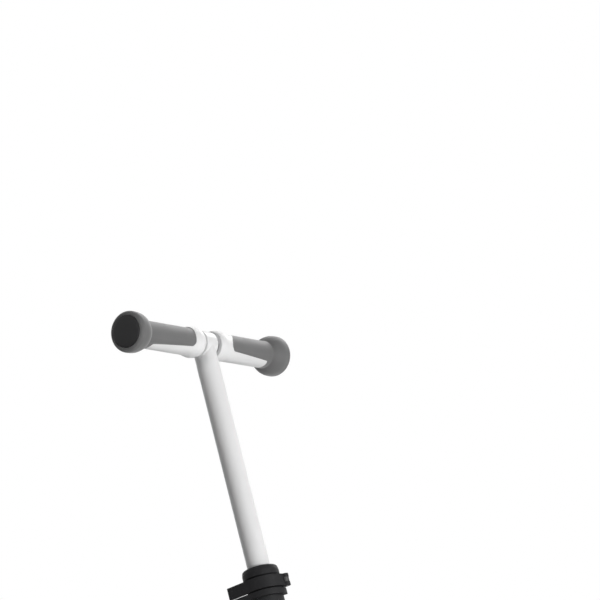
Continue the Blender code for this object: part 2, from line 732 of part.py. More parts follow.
def rocker():
    body = ball("rocker_dome", dome_r, lean_axis)
    far = DOME_D
    trims = [box("rocker_base", (-far, -far, -far), (far, far, -DOME_DEPTH), lean_axis)]
    for low, high in ((DOME_FLAT, far), (-far, -DOME_FLAT)):
        trims.append(box("rocker_flat", (low, -far, -far), (high, far, far), lean_axis))
    cut(body, *trims)
    socket = turned("socket", [
        (0, SOCKET_TOP), (socket_r - SOFT_EDGE, SOCKET_TOP), (socket_r, SOCKET_TOP - SOFT_EDGE),
        (socket_r, dome_r), (socket_r + SOCKET_FLARE, dome_r - SOCKET_FLARE),
        (socket_r + SOCKET_FLARE, SOCKET_FLOOR), (0, SOCKET_FLOOR),
    ], "Z", stem)
    tongue = rod("tongue", TONGUE_D / 2, -TONGUE - TIE_T / 2, -DOME_DEPTH + 2 * BITE, "Z", lean_axis)
    join(body, socket, tongue)
    cut(body, rod("bush_bore", bush_r + GAP, -far, far, "X", lean_axis),
        rod("socket_bore", lower_r + GAP, SOCKET_FLOOR, THROUGH, "Z", stem),
        rod("button_hole", BUTTON_D / 2 + GAP, 0, far, "X", stem, at=(0, 0, BUTTON_S)))
    part(body, "steering_rocker", BLACK_PLASTIC)
    for name, sign in (("front", 1), ("rear", -1)):
        bore, flange_r = ROCKER_PIN_D / 2 + GAP, bush_r + BUSH_LIP
        outer = DOME_FLAT + GAP + BUSH_FLANGE
        inner = DOME_FLAT - BUSH_L
        profile = [(bore, outer), (flange_r, outer), (flange_r, DOME_FLAT + GAP),
                   (bush_r, DOME_FLAT + GAP), (bush_r, inner), (bore, inner)]
        turn = ALONG["X"] if sign > 0 else (0, -math.pi / 2, 0)
        bush = turned("bush", profile, parent=lean_axis, sides=16, turn=turn)
        part(bush, f"rocker_bush_{name}", NYLON)


def rocker_pin():
    head_start = bulkhead_end + GAP
    shank = rod("pin", ROCKER_PIN_D / 2, -bulkhead_end + BITE / 2, head_start + BITE, "X", lean_axis)
    head = rod("pin_head", ROCKER_PIN_D / 2 + PIN_HEAD_LIP, head_start, head_start + PIN_HEAD_H,
               "X", lean_axis)
    part(join(head, shank), "rocker_pin", STEEL)


def centring_buffers():
    height = pivot_z - DOME_DEPTH - GAP - (floor_top + GAP)
    for name, side in (("left", 1), ("right", -1)):
        r, middle = BUFFER_D / 2, height / 2
        buffer = turned("buffer", [
            (0, height), (r - SOFT_EDGE, height), (r, height - SOFT_EDGE), (r, middle + BUFFER_NECK),
            (r - SOFT_EDGE, middle), (r, middle - BUFFER_NECK), (r, SOFT_EDGE), (r - SOFT_EDGE, 0), (0, 0),
        ], at=(pivot_x - BUFFER_X, side * BUFFER_Y, floor_top + GAP), sides=14)
        part(buffer, f"centring_buffer_{name}", GREY_RUBBER)


def tie_rod():
    half_pin = LINK_PIN_D / 2
    reach = TIE_T / 2
    spot = (pivot_x, 0, tie_z)
    body = hull("tie_bar", [(0, kingpin_y, TIE_END_R), (0, -kingpin_y, TIE_END_R)], -reach, reach, at=spot)
    tongue_r = TONGUE_D / 2 + LINK_PLAY
    join(body, rod("tie_boss", tongue_r + TIE_EYE, -reach, reach, at=spot))
    cut(body, rod("tongue_hole", tongue_r, -THROUGH, THROUGH, at=spot))
    for side in (1, -1):
        slot = hull("pin_slot", [(-SLOT_BACK, 0, half_pin + PIN_PLAY), (SLOT_FRONT, 0, half_pin + PIN_PLAY)],
                    -THROUGH, THROUGH, at=(pivot_x, side * kingpin_y, tie_z))
        cut(body, slot)
    part(body, "tie_rod", STEEL)


def knuckle(side, name):
    axis = frame(f"steer_axis_{name}", at=(kingpin_x, side * kingpin_y, 0))
    reach = KINGPIN_INSET - FRONT_WHEEL_W / 2 - GAP
    out = (-math.pi / 2 * side, 0, 0)
    spindle_r = KNUCKLE_D / 2 - SPINDLE_STEP
    body = rod("barrel", KNUCKLE_D / 2, floor_top + GAP, cover_base - GAP, parent=axis)
    spindle = turned("spindle", [
        (0, reach), (AXLE_D / 2 + 2 * BITE, reach), (AXLE_D / 2 + 3 * BITE, reach - 3 * BITE),
        (spindle_r, KNUCKLE_D / 2 + BITE), (spindle_r, BITE), (0, BITE),
    ], parent=axis, at=(-TRAIL, 0, front_r), turn=out, sides=16)
    arm = hull("steer_arm", [(0, 0, KNUCKLE_D / 2 - BITE), (-ARM_REACH, 0, LINK_PIN_D / 2 + LINK_EYE)],
               steer_arm_z, steer_arm_z + STEER_ARM_T, parent=axis)
    link_pin = rod("link_pin", LINK_PIN_D / 2, steer_arm_z + BITE, tie_z + TIE_T / 2 + BITE,
                   parent=axis, at=(-ARM_REACH, 0, 0), sides=16)
    join(body, spindle, arm, link_pin)
    cut(body, rod("bush_bore", KINGPIN_D / 2 + GAP + BUSH_WALL + GAP, 0, THROUGH, parent=axis),
        rod("axle_bore", AXLE_D / 2 + GAP, KNUCKLE_D / 2 - 2 * BITE, THROUGH,
            parent=frame("axle_line", axis, at=(-TRAIL, 0, front_r), turn=out)))
    part(body, f"knuckle_{name}", BLACK_PLASTIC)
    bush = turned("kingpin_bush", [
        (KINGPIN_D / 2 + GAP, cover_base - GAP), (KINGPIN_D / 2 + GAP + BUSH_WALL, cover_base - GAP),
        (KINGPIN_D / 2 + GAP + BUSH_WALL, floor_top + GAP), (KINGPIN_D / 2 + GAP, floor_top + GAP),
    ], parent=axis, sides=12)
    part(bush, f"kingpin_bush_{name}", NYLON)
    head_start = KINGPIN_INSET + FRONT_WHEEL_W / 2 + GAP
    line = frame(f"front_axle_{name}_line", axis, at=(-TRAIL, 0, front_r), turn=out)
    part(axle_bolt(line, KNUCKLE_D / 2 + SOFT_EDGE, head_start), f"front_axle_{name}", STEEL)


def axle_bolt(line, low, head_start):
    # a shank with a low head and a hexagon socket
    r, top = AXLE_HEAD_D / 2, head_start + AXLE_HEAD_H
    head = turned("axle_head", [
        (0, top), (r - SOFT_EDGE, top), (r, top - SOFT_EDGE), (r, head_start), (0, head_start),
    ], parent=line, sides=16)
    shank = rod("axle_shank", AXLE_D / 2, low, head_start + BITE, parent=line)
    socket = rod("hex_socket", HEX_D / 2, head_start + SOCKET_FLOOR_T, THROUGH, parent=line, sides=6)
    return cut(join(head, shank), socket)


# Wheels, each about its own axis line with +Z outward

def wheel_window(inner, outer):
    # one window of the hub's web, between two spokes, with its corners rounded
    wide = math.pi / WINDOWS - SPOKE_W / 2 / outer
    narrow = math.pi / WINDOWS - SPOKE_W / 2 / inner
    spots = [(outer, -1, WINDOW_EDGE), (outer, -0.35, 0), (outer, 0.35, 0), (outer, 1, WINDOW_EDGE),
             (inner, 1, WINDOW_EDGE), (inner, -1, WINDOW_EDGE)]
    corners = []
    for radius, share, edge in spots:
        a = share * (wide if radius == outer else narrow)
        corners.append((radius * math.cos(a), radius * math.sin(a), edge))
    return rounded(corners, math.radians(50))


def wheel(line, wheel_d, wheel_w, tyre_h, tyre_name, hub_name, bearings, spacer_name):
    r = wheel_d / 2
    rim = r - tyre_h
    half = wheel_w / 2
    crown = [
        (r, 0), (r - tyre_h * 0.06, -half * 0.5), (r - tyre_h * 0.26, -half * 0.83),
        (r - tyre_h * 0.6, -half * 0.96), (rim, -half * 0.82), (rim, half * 0.82),
        (r - tyre_h * 0.6, half * 0.96), (r - tyre_h * 0.26, half * 0.83), (r - tyre_h * 0.06, half * 0.5),
    ]
    part(turned("tyre", crown, parent=line, sides=28), tyre_name, GREY_TYRE)

    seat, barrel = BEARING_D / 2 + GAP, HUB_BARREL_D / 2
    rim_half, web = half * 0.8, HUB_WEB_T / 2
    floor = half - BEARING_W - GAP
    rim_in = rim - GAP - HUB_RIM_T
    hub = turned("hub", [
        (seat, half), (barrel, half), (barrel + BITE, web), (rim_in - BITE, web), (rim_in, rim_half),
        (rim - GAP, rim_half), (rim - GAP, -rim_half), (rim_in, -rim_half), (rim_in - BITE, -web),
        (barrel + BITE, -web), (barrel, -half), (seat, -half), (seat, -floor),
        (seat - SEAT_LIP, -floor), (seat - SEAT_LIP, floor), (seat, floor),
    ], parent=line, sides=20)
    window = wheel_window(barrel + WINDOW_MARGIN, rim_in - WINDOW_MARGIN)
    for i in range(WINDOWS):
        cutter = prism("hub_window", window, -half, half,
                       parent=line, turn=(0, 0, math.tau * (i + 0.5) / WINDOWS))
        cut(hub, cutter)
    part(hub, hub_name, WHITE_PLASTIC)

    bore = AXLE_D / 2 + GAP
    for name, sign in zip(bearings, (1, -1)):
        high, low = sorted((sign * (half - BEARING_W), sign * half), reverse=True)
        ring = turned("bearing", [
            (bore, high), (BEARING_D / 2, high), (BEARING_D / 2, low), (bore, low),
        ], parent=line, sides=12)
        part(ring, name, STEEL)
    end = half - BEARING_W - GAP
    spacer = turned("spacer", [(bore, end), (bore + SPACER_WALL, end), (bore + SPACER_WALL, -end),
                               (bore, -end)], parent=line, sides=12)
    part(spacer, spacer_name, STEEL)


def front_wheel(side, name):
    line = frame(f"wheel_axis_{name}", at=(front_x, side * wheel_y, front_r),
                 turn=(-math.pi / 2 * side, 0, 0))
    wheel(line, FRONT_WHEEL_D, FRONT_WHEEL_W, FRONT_TYRE_H, f"front_tyre_{name}", f"front_hub_{name}",
          (f"outer_bearing_{name}", f"inner_bearing_{name}"), f"bearing_spacer_{name}")


def rear_wheel():
    line = frame("rear_wheel_axis", at=(rear_x, 0, rear_r), turn=ALONG["Y"])
    wheel(line, REAR_WHEEL_D, REAR_WHEEL_W, REAR_TYRE_H, "rear_tyre", "rear_hub",
          ("rear_bearing_left", "rear_bearing_right"), "rear_spacer")
    head_start = arm_out + GAP
    nut_end = arm_out + GAP + AXLE_NUT_H
    part(axle_bolt(line, -nut_end - BITE, head_start), "rear_axle", STEEL)
    nut = rod("rear_nut", AXLE_NUT_D / 2, -nut_end, -arm_out - GAP, parent=line, sides=6)
    hole = rod("nut_hole", AXLE_D / 2 + GAP, -THROUGH, THROUGH, parent=line)
    part(cut(nut, hole), "rear_axle_nut", STEEL)


# Brake

def on_wheel(angle, radius):
    return rear_x + radius * math.cos(angle), rear_r + radius * math.sin(angle)


def sector(name, inner, outer, first, last, half):
    # a band about the rear axle between two angles, standing across the scooter
    steps = 8
    angles = [first + (last - first) * i / steps for i in range(steps + 1)]
    points = [on_wheel(a, outer) for a in angles] + [on_wheel(a, inner) for a in reversed(angles)]
    return prism(name, points, -half, half, turn=(math.pi / 2, 0, 0))


def neck_side(reach):
    # a point under the fender's neck, from the hinge, where the spring's leg lies
    thin = FENDER_T / 2
    end_x, end_z = on_wheel(FENDER_FRONT + NECK_LAP, rear_r + FENDER_ROOM + thin)
    dx, dz = end_x - hinge_x, end_z - hinge_z
    length = math.hypot(dx, dz)
    dx, dz = dx / length, dz / length
    drop = BRAKE_BARREL_D / 2 + (thin - BRAKE_BARREL_D / 2) * reach / length + GAP + SPRING_WIRE / 2
    return dx * reach - dz * drop, dz * reach + dx * drop


def brake():
    inner = rear_r + FENDER_ROOM
    outer = inner + FENDER_T
    half, lip_in, thin = FENDER_W / 2, inner - FENDER_LIP, FENDER_T / 2
    lip_half = half - FENDER_LIP_T
    body = turned("fender", [
        (outer, half), (outer + FENDER_CROWN, half / 2), (outer + FENDER_CROWN, -half / 2), (outer, -half),
        (lip_in, -half), (lip_in, -lip_half), (inner, -lip_half + BITE / 2), (inner, lip_half - BITE / 2),
        (lip_in, lip_half), (lip_in, half),
    ], "Y", rear_centre, sides=40)
    part_shown = sector("fender_part", lip_in - FENDER_ROOM / 2, outer + half, FENDER_FRONT, FENDER_BACK,
                        FENDER_W)
    boolean(body, [part_shown], "INTERSECT")
    front = on_wheel(FENDER_FRONT + NECK_LAP, inner + thin)
    back = on_wheel(FENDER_BACK - NECK_LAP, inner + thin)
    tail_end = (rear_x - TAIL + thin, rear_r + TAIL_LIFT)
    tail = hull("fender_tail", [(*back, thin), (*tail_end, thin)], TAIL_INSET - half, half - TAIL_INSET, "Y")
    neck = hull("fender_neck", [(*front, thin), (hinge_x, hinge_z, BRAKE_BARREL_D / 2)],
                -arm_in + GAP, arm_in - GAP, "Y")
    join(body, tail, neck)
    spring_room = rod("spring_room", BRAKE_BARREL_D / 2 + BARREL_ROOM, spring_low - GAP, arm_in, "Y",
                      brake_axis)
    bore = rod("brake_bore", BRAKE_PIN_D / 2 + GAP, -THROUGH, THROUGH, "Y", brake_axis)
    part(cut(body, bore, spring_room), "brake_fender", BLACK_PLASTIC)

    # the pad follows the fender above and is flat towards the tyre
    pad_out = inner - GAP
    flat = (pad_out - PAD_T) / math.cos(PAD_SPREAD)
    ends = (PAD_ANGLE - PAD_SPREAD, PAD_ANGLE + PAD_SPREAD)
    points = [on_wheel(ends[0] + (ends[1] - ends[0]) * i / 6, pad_out) for i in range(7)]
    points += [on_wheel(a, flat) for a in reversed(ends)]
    pad = prism("pad", points, -PAD_W / 2, PAD_W / 2, turn=(math.pi / 2, 0, 0))
    part(pad, "brake_pad", STEEL)
    reach = arm_out + 2 * GAP
    part(rod("brake_pin", BRAKE_PIN_D / 2, -reach, reach, "Y", brake_axis), "brake_pin", STEEL)


def brake_spring():
    # a torsion coil round the pin, with one leg on the deck and one under the fender's neck
    per_turn = 9
    radius = BRAKE_PIN_D / 2 + SPRING_WIRE / 2 + 2 * GAP
    start = spring_low + SPRING_WIRE / 2
    pitch = SPRING_WIRE + SPRING_GAP
    on_deck = DECK_TOP + GAP + SPRING_WIRE / 2 - hinge_z
    points = [(radius + SPRING_LEG, start, on_deck)]
    for i in range(SPRING_TURNS * per_turn + 1):
        a = -math.pi / 2 + math.tau * i / per_turn
        points.append((radius * math.cos(a), start + pitch * i / per_turn, radius * math.sin(a)))
    end_y = start + pitch * SPRING_TURNS
    for reach in (0, SPRING_LEG):
        along, off = neck_side(reach)
        points.append((along, end_y, off))
    pairs = ((p, q) for i, p in enumerate(points) for q in points[i + per_turn - 1:])
    least = min(math.dist(p, q) for p, q in pairs) - SPRING_WIRE
    print(f"brake_spring: least gap between turns {least * 1000:.2f} mm")
    part(wire("brake_spring", points, SPRING_WIRE / 2, brake_axis), "brake_spring", STEEL)


# Column

def lower_tube():
    body = turned("lower_tube", [
        (lower_bore, lower_top), (lower_r, lower_top), (lower_r, lower_bottom), (lower_bore, lower_bottom),
    ], parent=stem)
    hole = rod("button_hole", BUTTON_D / 2 + GAP, 0, THROUGH, "X", stem, at=(0, 0, BUTTON_S))
    slot = box("tube_slot", (-THROUGH, -SLIT / 2, lower_top - SLIT_L), (0, SLIT / 2, lower_top + BITE), stem)
    part(cut(body, hole, slot), "lower_tube", BLACK_PLASTIC)


def release_button():
    inner = lower_bore - BUTTON_TRAVEL - BITE / 2
    face, r = socket_r + BUTTON_OUT, BUTTON_D / 2
    button = turned("button", [
        (0, face), (r - BITE, face), (r, face - BITE), (r, inner), (r + BUTTON_LIP, inner),
        (r + BUTTON_LIP, inner - BUTTON_FLANGE_T), (0, inner - BUTTON_FLANGE_T),
    ], "X", stem, at=(0, 0, BUTTON_S), sides=16)
    part(button, "release_button", GREY_PLASTIC)
    # a leaf bent in a V: one end under the button, the other on the tube's far wall
    near = inner - BUTTON_FLANGE_T - GAP - LEAF_T
    far = LEAF_SEAT - lower_bore
    bend, low, high = BUTTON_S - LEAF_L, BUTTON_S - LEAF_W / 2, BUTTON_S + LEAF_W / 2
    leaf = prism("leaf", [
        (near, high), (near + LEAF_T, high), (near + LEAF_T, low), (LEAF_T, bend), (-LEAF_T, bend),
        (far, low), (far, high), (far + LEAF_T, high), (far + LEAF_T, low), (0, bend + 2.5 * LEAF_T),
        (near, low),
    ], -LEAF_W / 2, LEAF_W / 2, parent=stem, turn=(math.pi / 2, 0, 0))
    part(leaf, "button_spring", STEEL)


def arc(radius, first, last, step=math.radians(15)):
    count = max(2, math.ceil(abs(last - first) / step))
    angles = [first + (last - first) * i / count for i in range(count + 1)]
    return [(radius * math.cos(a), radius * math.sin(a)) for a in angles]


def ribbon(path, thickness):
    # the outline of a strip of even thickness along a path
    sides = ([], [])
    for i, (x, y) in enumerate(path):
        x0, y0 = path[max(i - 1, 0)]
        x1, y1 = path[min(i + 1, len(path) - 1)]
        length = math.hypot(x1 - x0, y1 - y0)
        nx, ny = -(y1 - y0) / length, (x1 - x0) / length
        sides[0].append((x + nx * thickness / 2, y + ny * thickness / 2))
        sides[1].append((x - nx * thickness / 2, y - ny * thickness / 2))
    return sides[0] + sides[1][::-1]


def clamp():
    ring_r, sleeve_r = CLAMP_RING_D / 2, CLAMP_D / 2
    bottom = clamp_top - CLAMP_H
    body = turned("clamp_sleeve", [
        (upper_r + GAP, clamp_top), (ring_r - RING_ROUND, clamp_top),
        (ring_r - 0.3 * RING_ROUND, clamp_top - 0.3 * RING_ROUND), (ring_r, clamp_top - RING_ROUND),
        (ring_r, clamp_top - CLAMP_RING_H), (sleeve_r, clamp_top - CLAMP_RING_H - SOFT_EDGE),
        (sleeve_r, bottom + BITE), (sleeve_r - BITE, bottom), (lower_r + GAP, bottom),
        (lower_r + GAP, clamp_top - CLAMP_LIP), (upper_r + GAP, clamp_top - CLAMP_LIP),
    ], parent=stem)
    ear_out = SLIT / 2 + EAR_T
    ear_r = LEVER_H / 2 - 2 * BITE
    ears = hull("ears", [
        (lower_r + 2 * BITE, 0, LEVER_H / 2), (EAR_REACH - ear_r, 0, ear_r),
    ], -ear_out, ear_out, "Y", clamp_side)
    flange_low = -LEVER_H / 2 - FLANGE_DROP - FLANGE_H
    flange_mid = sleeve_r + LEVER_ROOM + LEVER_T - BITE - FLANGE_T / 2
    path = arc(flange_mid, WRAP_FRONT, WRAP_END)
    path.append((LEVER_TIP_X + FLANGE_SHORT, LEVER_TIP_Y + BITE))
    flange = prism("flange", ribbon(path, FLANGE_T), flange_low, flange_low + FLANGE_H, LEVER_EDGE,
                   stem, at=(0, 0, lever_mid))
    join(body, ears, flange)
    slit = box("clamp_slit", (0, -SLIT / 2, clamp_top - lever_mid - SLIT_L),
               (THROUGH, SLIT / 2, THROUGH), clamp_side)
    bore = turned("clamp_bore", [
        (0, clamp_top + BITE), (upper_r + GAP, clamp_top + BITE), (upper_r + GAP, clamp_top - CLAMP_LIP),
        (lower_r + GAP, clamp_top - CLAMP_LIP), (lower_r + GAP, bottom - BITE), (0, bottom - BITE),
    ], parent=stem)
    bolt_line = rod("bolt_hole", BOLT_D / 2 + GAP, -THROUGH, THROUGH, "Y", clamp_side, at=(bolt_x, 0, 0))
    part(cut(body, bore, slit, bolt_line), "clamp_body", BLACK_PLASTIC)

    saddle_in = ear_out + GAP
    lift = LEVER_H / 2 - saddle_r
    saddle = hull("saddle", [(bolt_x, lift, saddle_r), (bolt_x, -lift, saddle_r)], -saddle_in - SADDLE_T,
                  -saddle_in, "Y", clamp_side)
    part(cut(saddle, bolt_line), "cam_saddle", NYLON)

    eye_y = -lever_offset
    shank = rod("bolt_shank", BOLT_D / 2, eye_y, ear_out + GAP + NUT_H, "Y", clamp_side,
                at=(bolt_x, 0, 0), sides=16)
    eye = rod("bolt_eye", LEVER_BOSS_D / 2 - GAP, -EYE_H / 2, EYE_H / 2, "Z", clamp_side,
              at=(bolt_x, eye_y, 0), sides=16)
    pin_hole = rod("pin_hole", LEVER_PIN_D / 2 + GAP, -LEVER_H, LEVER_H, "Z", lever_axis, sides=16)
    part(cut(join(shank, eye), pin_hole), "clamp_bolt", STEEL)
    nut = rod("clamp_nut", NUT_D / 2, ear_out + GAP, ear_out + GAP + NUT_H, "Y", clamp_side,
              at=(bolt_x, 0, 0), sides=6)
    part(cut(nut, bolt_line), "clamp_nut", STEEL)
    pin = rod("lever_pin", LEVER_PIN_D / 2, -LEVER_H / 2 - GAP, LEVER_H / 2 + GAP, "Z", lever_axis,
              sides=16)
    part(pin, "lever_pin", STEEL)

    lever_mid_r = sleeve_r + LEVER_ROOM + LEVER_T / 2
    path = [(lever_x, lever_y)] + arc(lever_mid_r, WRAP_START, WRAP_END)
    path.append((LEVER_TIP_X, LEVER_TIP_Y))
    path = [(x - lever_x, y - lever_y) for x, y in path]
    arm = prism("lever_arm", ribbon(path, LEVER_T), -LEVER_H / 2, LEVER_H / 2, LEVER_EDGE, lever_axis)
    boss = rod("lever_boss", LEVER_BOSS_D / 2, -LEVER_H / 2, LEVER_H / 2, "Z", lever_axis)
    join(boss, arm)
    room_r, reach = BOLT_D / 2 + 2 * GAP, EYE_H / 2 + GAP
    eye_room = rod("eye_room", LEVER_BOSS_D / 2 + LEVER_EDGE, -reach, reach, "Z", lever_axis)
    swing_room = hull("swing_room", [(0, 0, room_r), (LEVER_T, CLAMP_D / 2, room_r)], -reach, reach,
                      parent=lever_axis)
    cut(boss, eye_room, swing_room, pin_hole)
    part(boss, "clamp_lever", BLACK_PLASTIC)


# Handlebar

def upper_tube():
    # the round tube swells forward and is drawn in sideways until it fits under the sleeve
    bore = upper_r - TUBE_WALL
    sections = [(upper_bottom, upper_r, upper_r)]
    for share in (0, 0.25, 0.5, 0.75, 1):
        ease = share * share * (3 - 2 * share)
        sections.append((bar_s - BLEND_START + (BLEND_START - BLEND_END) * share, upper_r + T_SWELL * ease,
                         upper_r + (T_W / 2 - GAP - upper_r) * ease))
    sections.append((bar_s - BITE, upper_r + T_SWELL, T_W / 2 - GAP))
    body = lofted("upper_tube", sections, stem)
    sleeve_r, edge = T_D / 2, T_W / 2 - BITE
    sleeve = turned("t_sleeve", [
        (0, T_W / 2), (sleeve_r - BITE, T_W / 2), (sleeve_r, edge), (sleeve_r, -edge),
        (sleeve_r - BITE, -T_W / 2), (0, -T_W / 2),
    ], "Y", bar)
    join(body, sleeve)
    cut(body, rod("bar_bore", cross_r + GAP, -T_W, T_W, "Y", bar),
        rod("stem_bore", bore, upper_bottom - BITE, bar_s - BLEND_START, parent=stem))
    part(body, "upper_tube", WHITE_PAINT)
    plug_low = upper_bottom - GAP - PLUG_FLANGE
    plug = turned("plug", [
        (0, upper_bottom + PLUG_L), (bore - GAP, upper_bottom + PLUG_L), (bore - GAP, upper_bottom - GAP),
        (upper_r, upper_bottom - GAP), (upper_r, plug_low), (0, plug_low),
    ], parent=stem)
    part(plug, "tube_plug", DARK_PLASTIC)
    tube = turned("cross_bar", [
        (cross_r - TUBE_WALL, CORE_END - GAP), (cross_r, CORE_END - GAP), (cross_r, -CORE_END + GAP),
        (cross_r - TUBE_WALL, -CORE_END + GAP),
    ], "Y", bar)
    part(tube, "cross_bar", STEEL)


def panel_window(gap, reach):
    # where the hard core shows: beside the T, and in a strip under the soft panel
    y0, y1 = PANEL_IN - gap, NECK_Y + NECK_LIP - gap
    drop = (WINDOW_OUT - WINDOW_IN) / (y1 - y0)
    inner, outer = -WINDOW_IN - gap, -WINDOW_IN - gap - drop * (y1 - y0)
    corners = [
        (GRIP_IN - BITE, reach, 0), (y0, reach, 0), (y0, inner, WINDOW_CORNER - gap),
        (y1, outer, WINDOW_CORNER / 2), (y1, -reach, 0), (GRIP_IN - BITE, -reach, 0),
    ]
    return rounded(corners)


def grip(side, name):
    line = frame(f"grip_{name}_line", bar, turn=(-math.pi / 2 * side, 0, 0))
    grip_r, rim_r, inside = GRIP_D / 2, RIM_D / 2, GRIP_D / 2 - SOFT_T
    # the mushroom's ball meets the grip at its neck, and closes in quickly beyond its rim
    span = RIM_Y - NECK_Y
    ball_span = span / math.sqrt(1 - (grip_r / rim_r) ** 2)
    ball_line = []
    for i in range(5):
        y = RIM_Y - span * i / 4
        ball_line.append((rim_r * math.sqrt(1 - ((RIM_Y - y) / ball_span) ** 2), y))
    cap_r = CAP_D / 2
    end_line = []
    for i in range(3):
        a = math.pi / 2 * (1 - i / 3)
        end_line.append((cap_r + GAP + (rim_r - cap_r - GAP) * math.cos(a),
                         RIM_Y + (END_Y - RIM_Y) * math.sin(a)))
    soft = turned("soft_grip", [(0, END_Y - CAP_T), (cap_r + GAP, END_Y - CAP_T)] + end_line + ball_line + [
        (grip_r, PANEL_IN), (inside, PANEL_IN), (inside, CORE_END + GAP), (0, CORE_END + GAP),
    ], parent=line, sides=20)
    # the window is drawn in (y, z) of the bar's frame, and runs through front and back
    flip = (0, math.pi / 2, 0)
    wide = RIM_D
    window = prism("grip_window", [(-z, side * y) for y, z in panel_window(0, wide)], -wide, wide,
                   parent=bar, turn=flip)
    part(cut(soft, window), f"grip_{name}", GREY_RUBBER)

    collar_r, collar_end = COLLAR_D / 2, GRIP_IN + COLLAR_W
    outside = turned("core_outside", [
        (core_r - BITE / 2, NECK_Y + NECK_LIP - GAP), (grip_r, NECK_Y + NECK_LIP - GAP),
        (grip_r, collar_end + COLLAR_RUN), (collar_r - BITE / 2, collar_end),
        (collar_r, collar_end - SOFT_EDGE), (collar_r, GRIP_IN + BITE), (collar_r - BITE, GRIP_IN),
        (core_r - BITE / 2, GRIP_IN),
    ], parent=line, sides=20)
    show = prism("core_window", [(-z, side * y) for y, z in panel_window(GAP, wide)], -wide, wide,
                 parent=bar, turn=flip)
    boolean(outside, [show], "INTERSECT")
    core = turned("core_tube", [
        (cross_r + GAP, CORE_END), (core_r, CORE_END), (core_r, GRIP_IN), (cross_r + GAP, GRIP_IN),
    ], parent=line, sides=20)
    part(join(core, outside), f"grip_core_{name}", WHITE_PLASTIC)

    base = END_Y - CAP_T + GAP
    cap = turned("end_cap", [
        (0, END_Y + CAP_CROWN), (cap_r * 0.45, END_Y + CAP_CROWN * 0.80),
        (cap_r * 0.8, END_Y + CAP_CROWN * 0.36), (cap_r, END_Y), (cap_r, base), (0, base),
    ], parent=line, sides=20)
    part(cap, f"end_cap_{name}", DARK_PLASTIC)


deck()
grip_mat()
nose_cover()
for side, name in ((1, "left"), (-1, "right")):
    kingpin(side, name)
    knuckle(side, name)
    front_wheel(side, name)
    grip(side, name)
rocker()
rocker_pin()
centring_buffers()
tie_rod()
rear_wheel()
brake()
brake_spring()
lower_tube()
release_button()
clamp()
upper_tube()
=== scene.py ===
import json
import math
import bpy
import bmesh
from mathutils import Matrix, Vector
from mathutils.geometry import convex_hull_2d


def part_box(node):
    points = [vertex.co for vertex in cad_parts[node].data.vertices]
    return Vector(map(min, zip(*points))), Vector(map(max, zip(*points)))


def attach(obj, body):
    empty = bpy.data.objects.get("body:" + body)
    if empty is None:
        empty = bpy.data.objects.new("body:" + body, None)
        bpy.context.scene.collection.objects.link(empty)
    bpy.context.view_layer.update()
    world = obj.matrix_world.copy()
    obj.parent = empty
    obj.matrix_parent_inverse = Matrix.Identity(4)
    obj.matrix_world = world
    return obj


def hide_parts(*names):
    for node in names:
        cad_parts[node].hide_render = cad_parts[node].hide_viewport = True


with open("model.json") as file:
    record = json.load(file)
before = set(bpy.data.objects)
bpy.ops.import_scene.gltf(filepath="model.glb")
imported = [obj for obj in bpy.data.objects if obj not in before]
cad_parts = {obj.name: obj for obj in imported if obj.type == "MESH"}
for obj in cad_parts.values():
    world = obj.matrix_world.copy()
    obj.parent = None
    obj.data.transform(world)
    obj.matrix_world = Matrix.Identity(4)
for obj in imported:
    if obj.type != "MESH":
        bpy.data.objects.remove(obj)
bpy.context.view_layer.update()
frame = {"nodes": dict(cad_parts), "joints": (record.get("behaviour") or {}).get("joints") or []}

# Places of the moving lines, read from the joints
joints = {j["name"]: j for j in frame["joints"]}
stemUp = Vector(joints["handlebar_height"]["axis"])
rake = math.atan2(-stemUp.x, stemUp.z)
leanPoint = Vector(joints["lean_steer"]["pos_m"])
upright = Matrix.Translation(leanPoint)
stem = upright @ Matrix.Rotation(-rake, 4, "Y")
barLow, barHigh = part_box("cross_bar")
barCentre = (barLow + barHigh) / 2
barHeight = (barCentre - leanPoint).length
bar = stem @ Matrix.Translation((0, 0, barHeight))
leverPlace = Matrix.Translation(joints["clamp_lever_open"]["pos_m"]) @ Matrix.Rotation(-rake, 4, "Y")
brakePlace = Matrix.Translation(joints["brake_press"]["pos_m"])
rearPlace = Matrix.Translation(joints["rear_wheel_spin"]["pos_m"])
alongX = Matrix.Rotation(math.pi / 2, 4, "Y")
alongY = Matrix.Rotation(-math.pi / 2, 4, "X")
gap = 0.0003
print("stage: frame read, bar centre", [round(c, 4) for c in barCentre])


def rounded(corners, closed=True, step=math.radians(9)):
    # corners are (u, v) or (u, v, radius), and each one with a radius becomes an arc
    points = []
    count = len(corners)
    for i, corner in enumerate(corners):
        x, y = corner[:2]
        radius = corner[2] if len(corner) > 2 else 0
        if radius <= 0 or (not closed and i in (0, count - 1)):
            points.append((x, y))
            continue
        x0, y0 = corners[i - 1][:2]
        x1, y1 = corners[(i + 1) % count][:2]
        back, on = math.atan2(y0 - y, x0 - x), math.atan2(y1 - y, x1 - x)
        opening = (on - back + math.pi) % math.tau - math.pi
        if abs(abs(opening) - math.pi) < 0.001:
            points.append((x, y))
            continue
        reach = radius / math.tan(abs(opening) / 2)
        far = radius / math.sin(abs(opening) / 2)
        middle = back + opening / 2
        cx, cy = x + far * math.cos(middle), y + far * math.sin(middle)
        start = math.atan2(y + reach * math.sin(back) - cy, x + reach * math.cos(back) - cx)
        sweep = -math.copysign(math.pi - abs(opening), opening)
        steps = max(3, math.ceil(abs(sweep) / step))
        for k in range(steps + 1):
            a = start + sweep * k / steps
            points.append((cx + radius * math.cos(a), cy + radius * math.sin(a)))
    return points


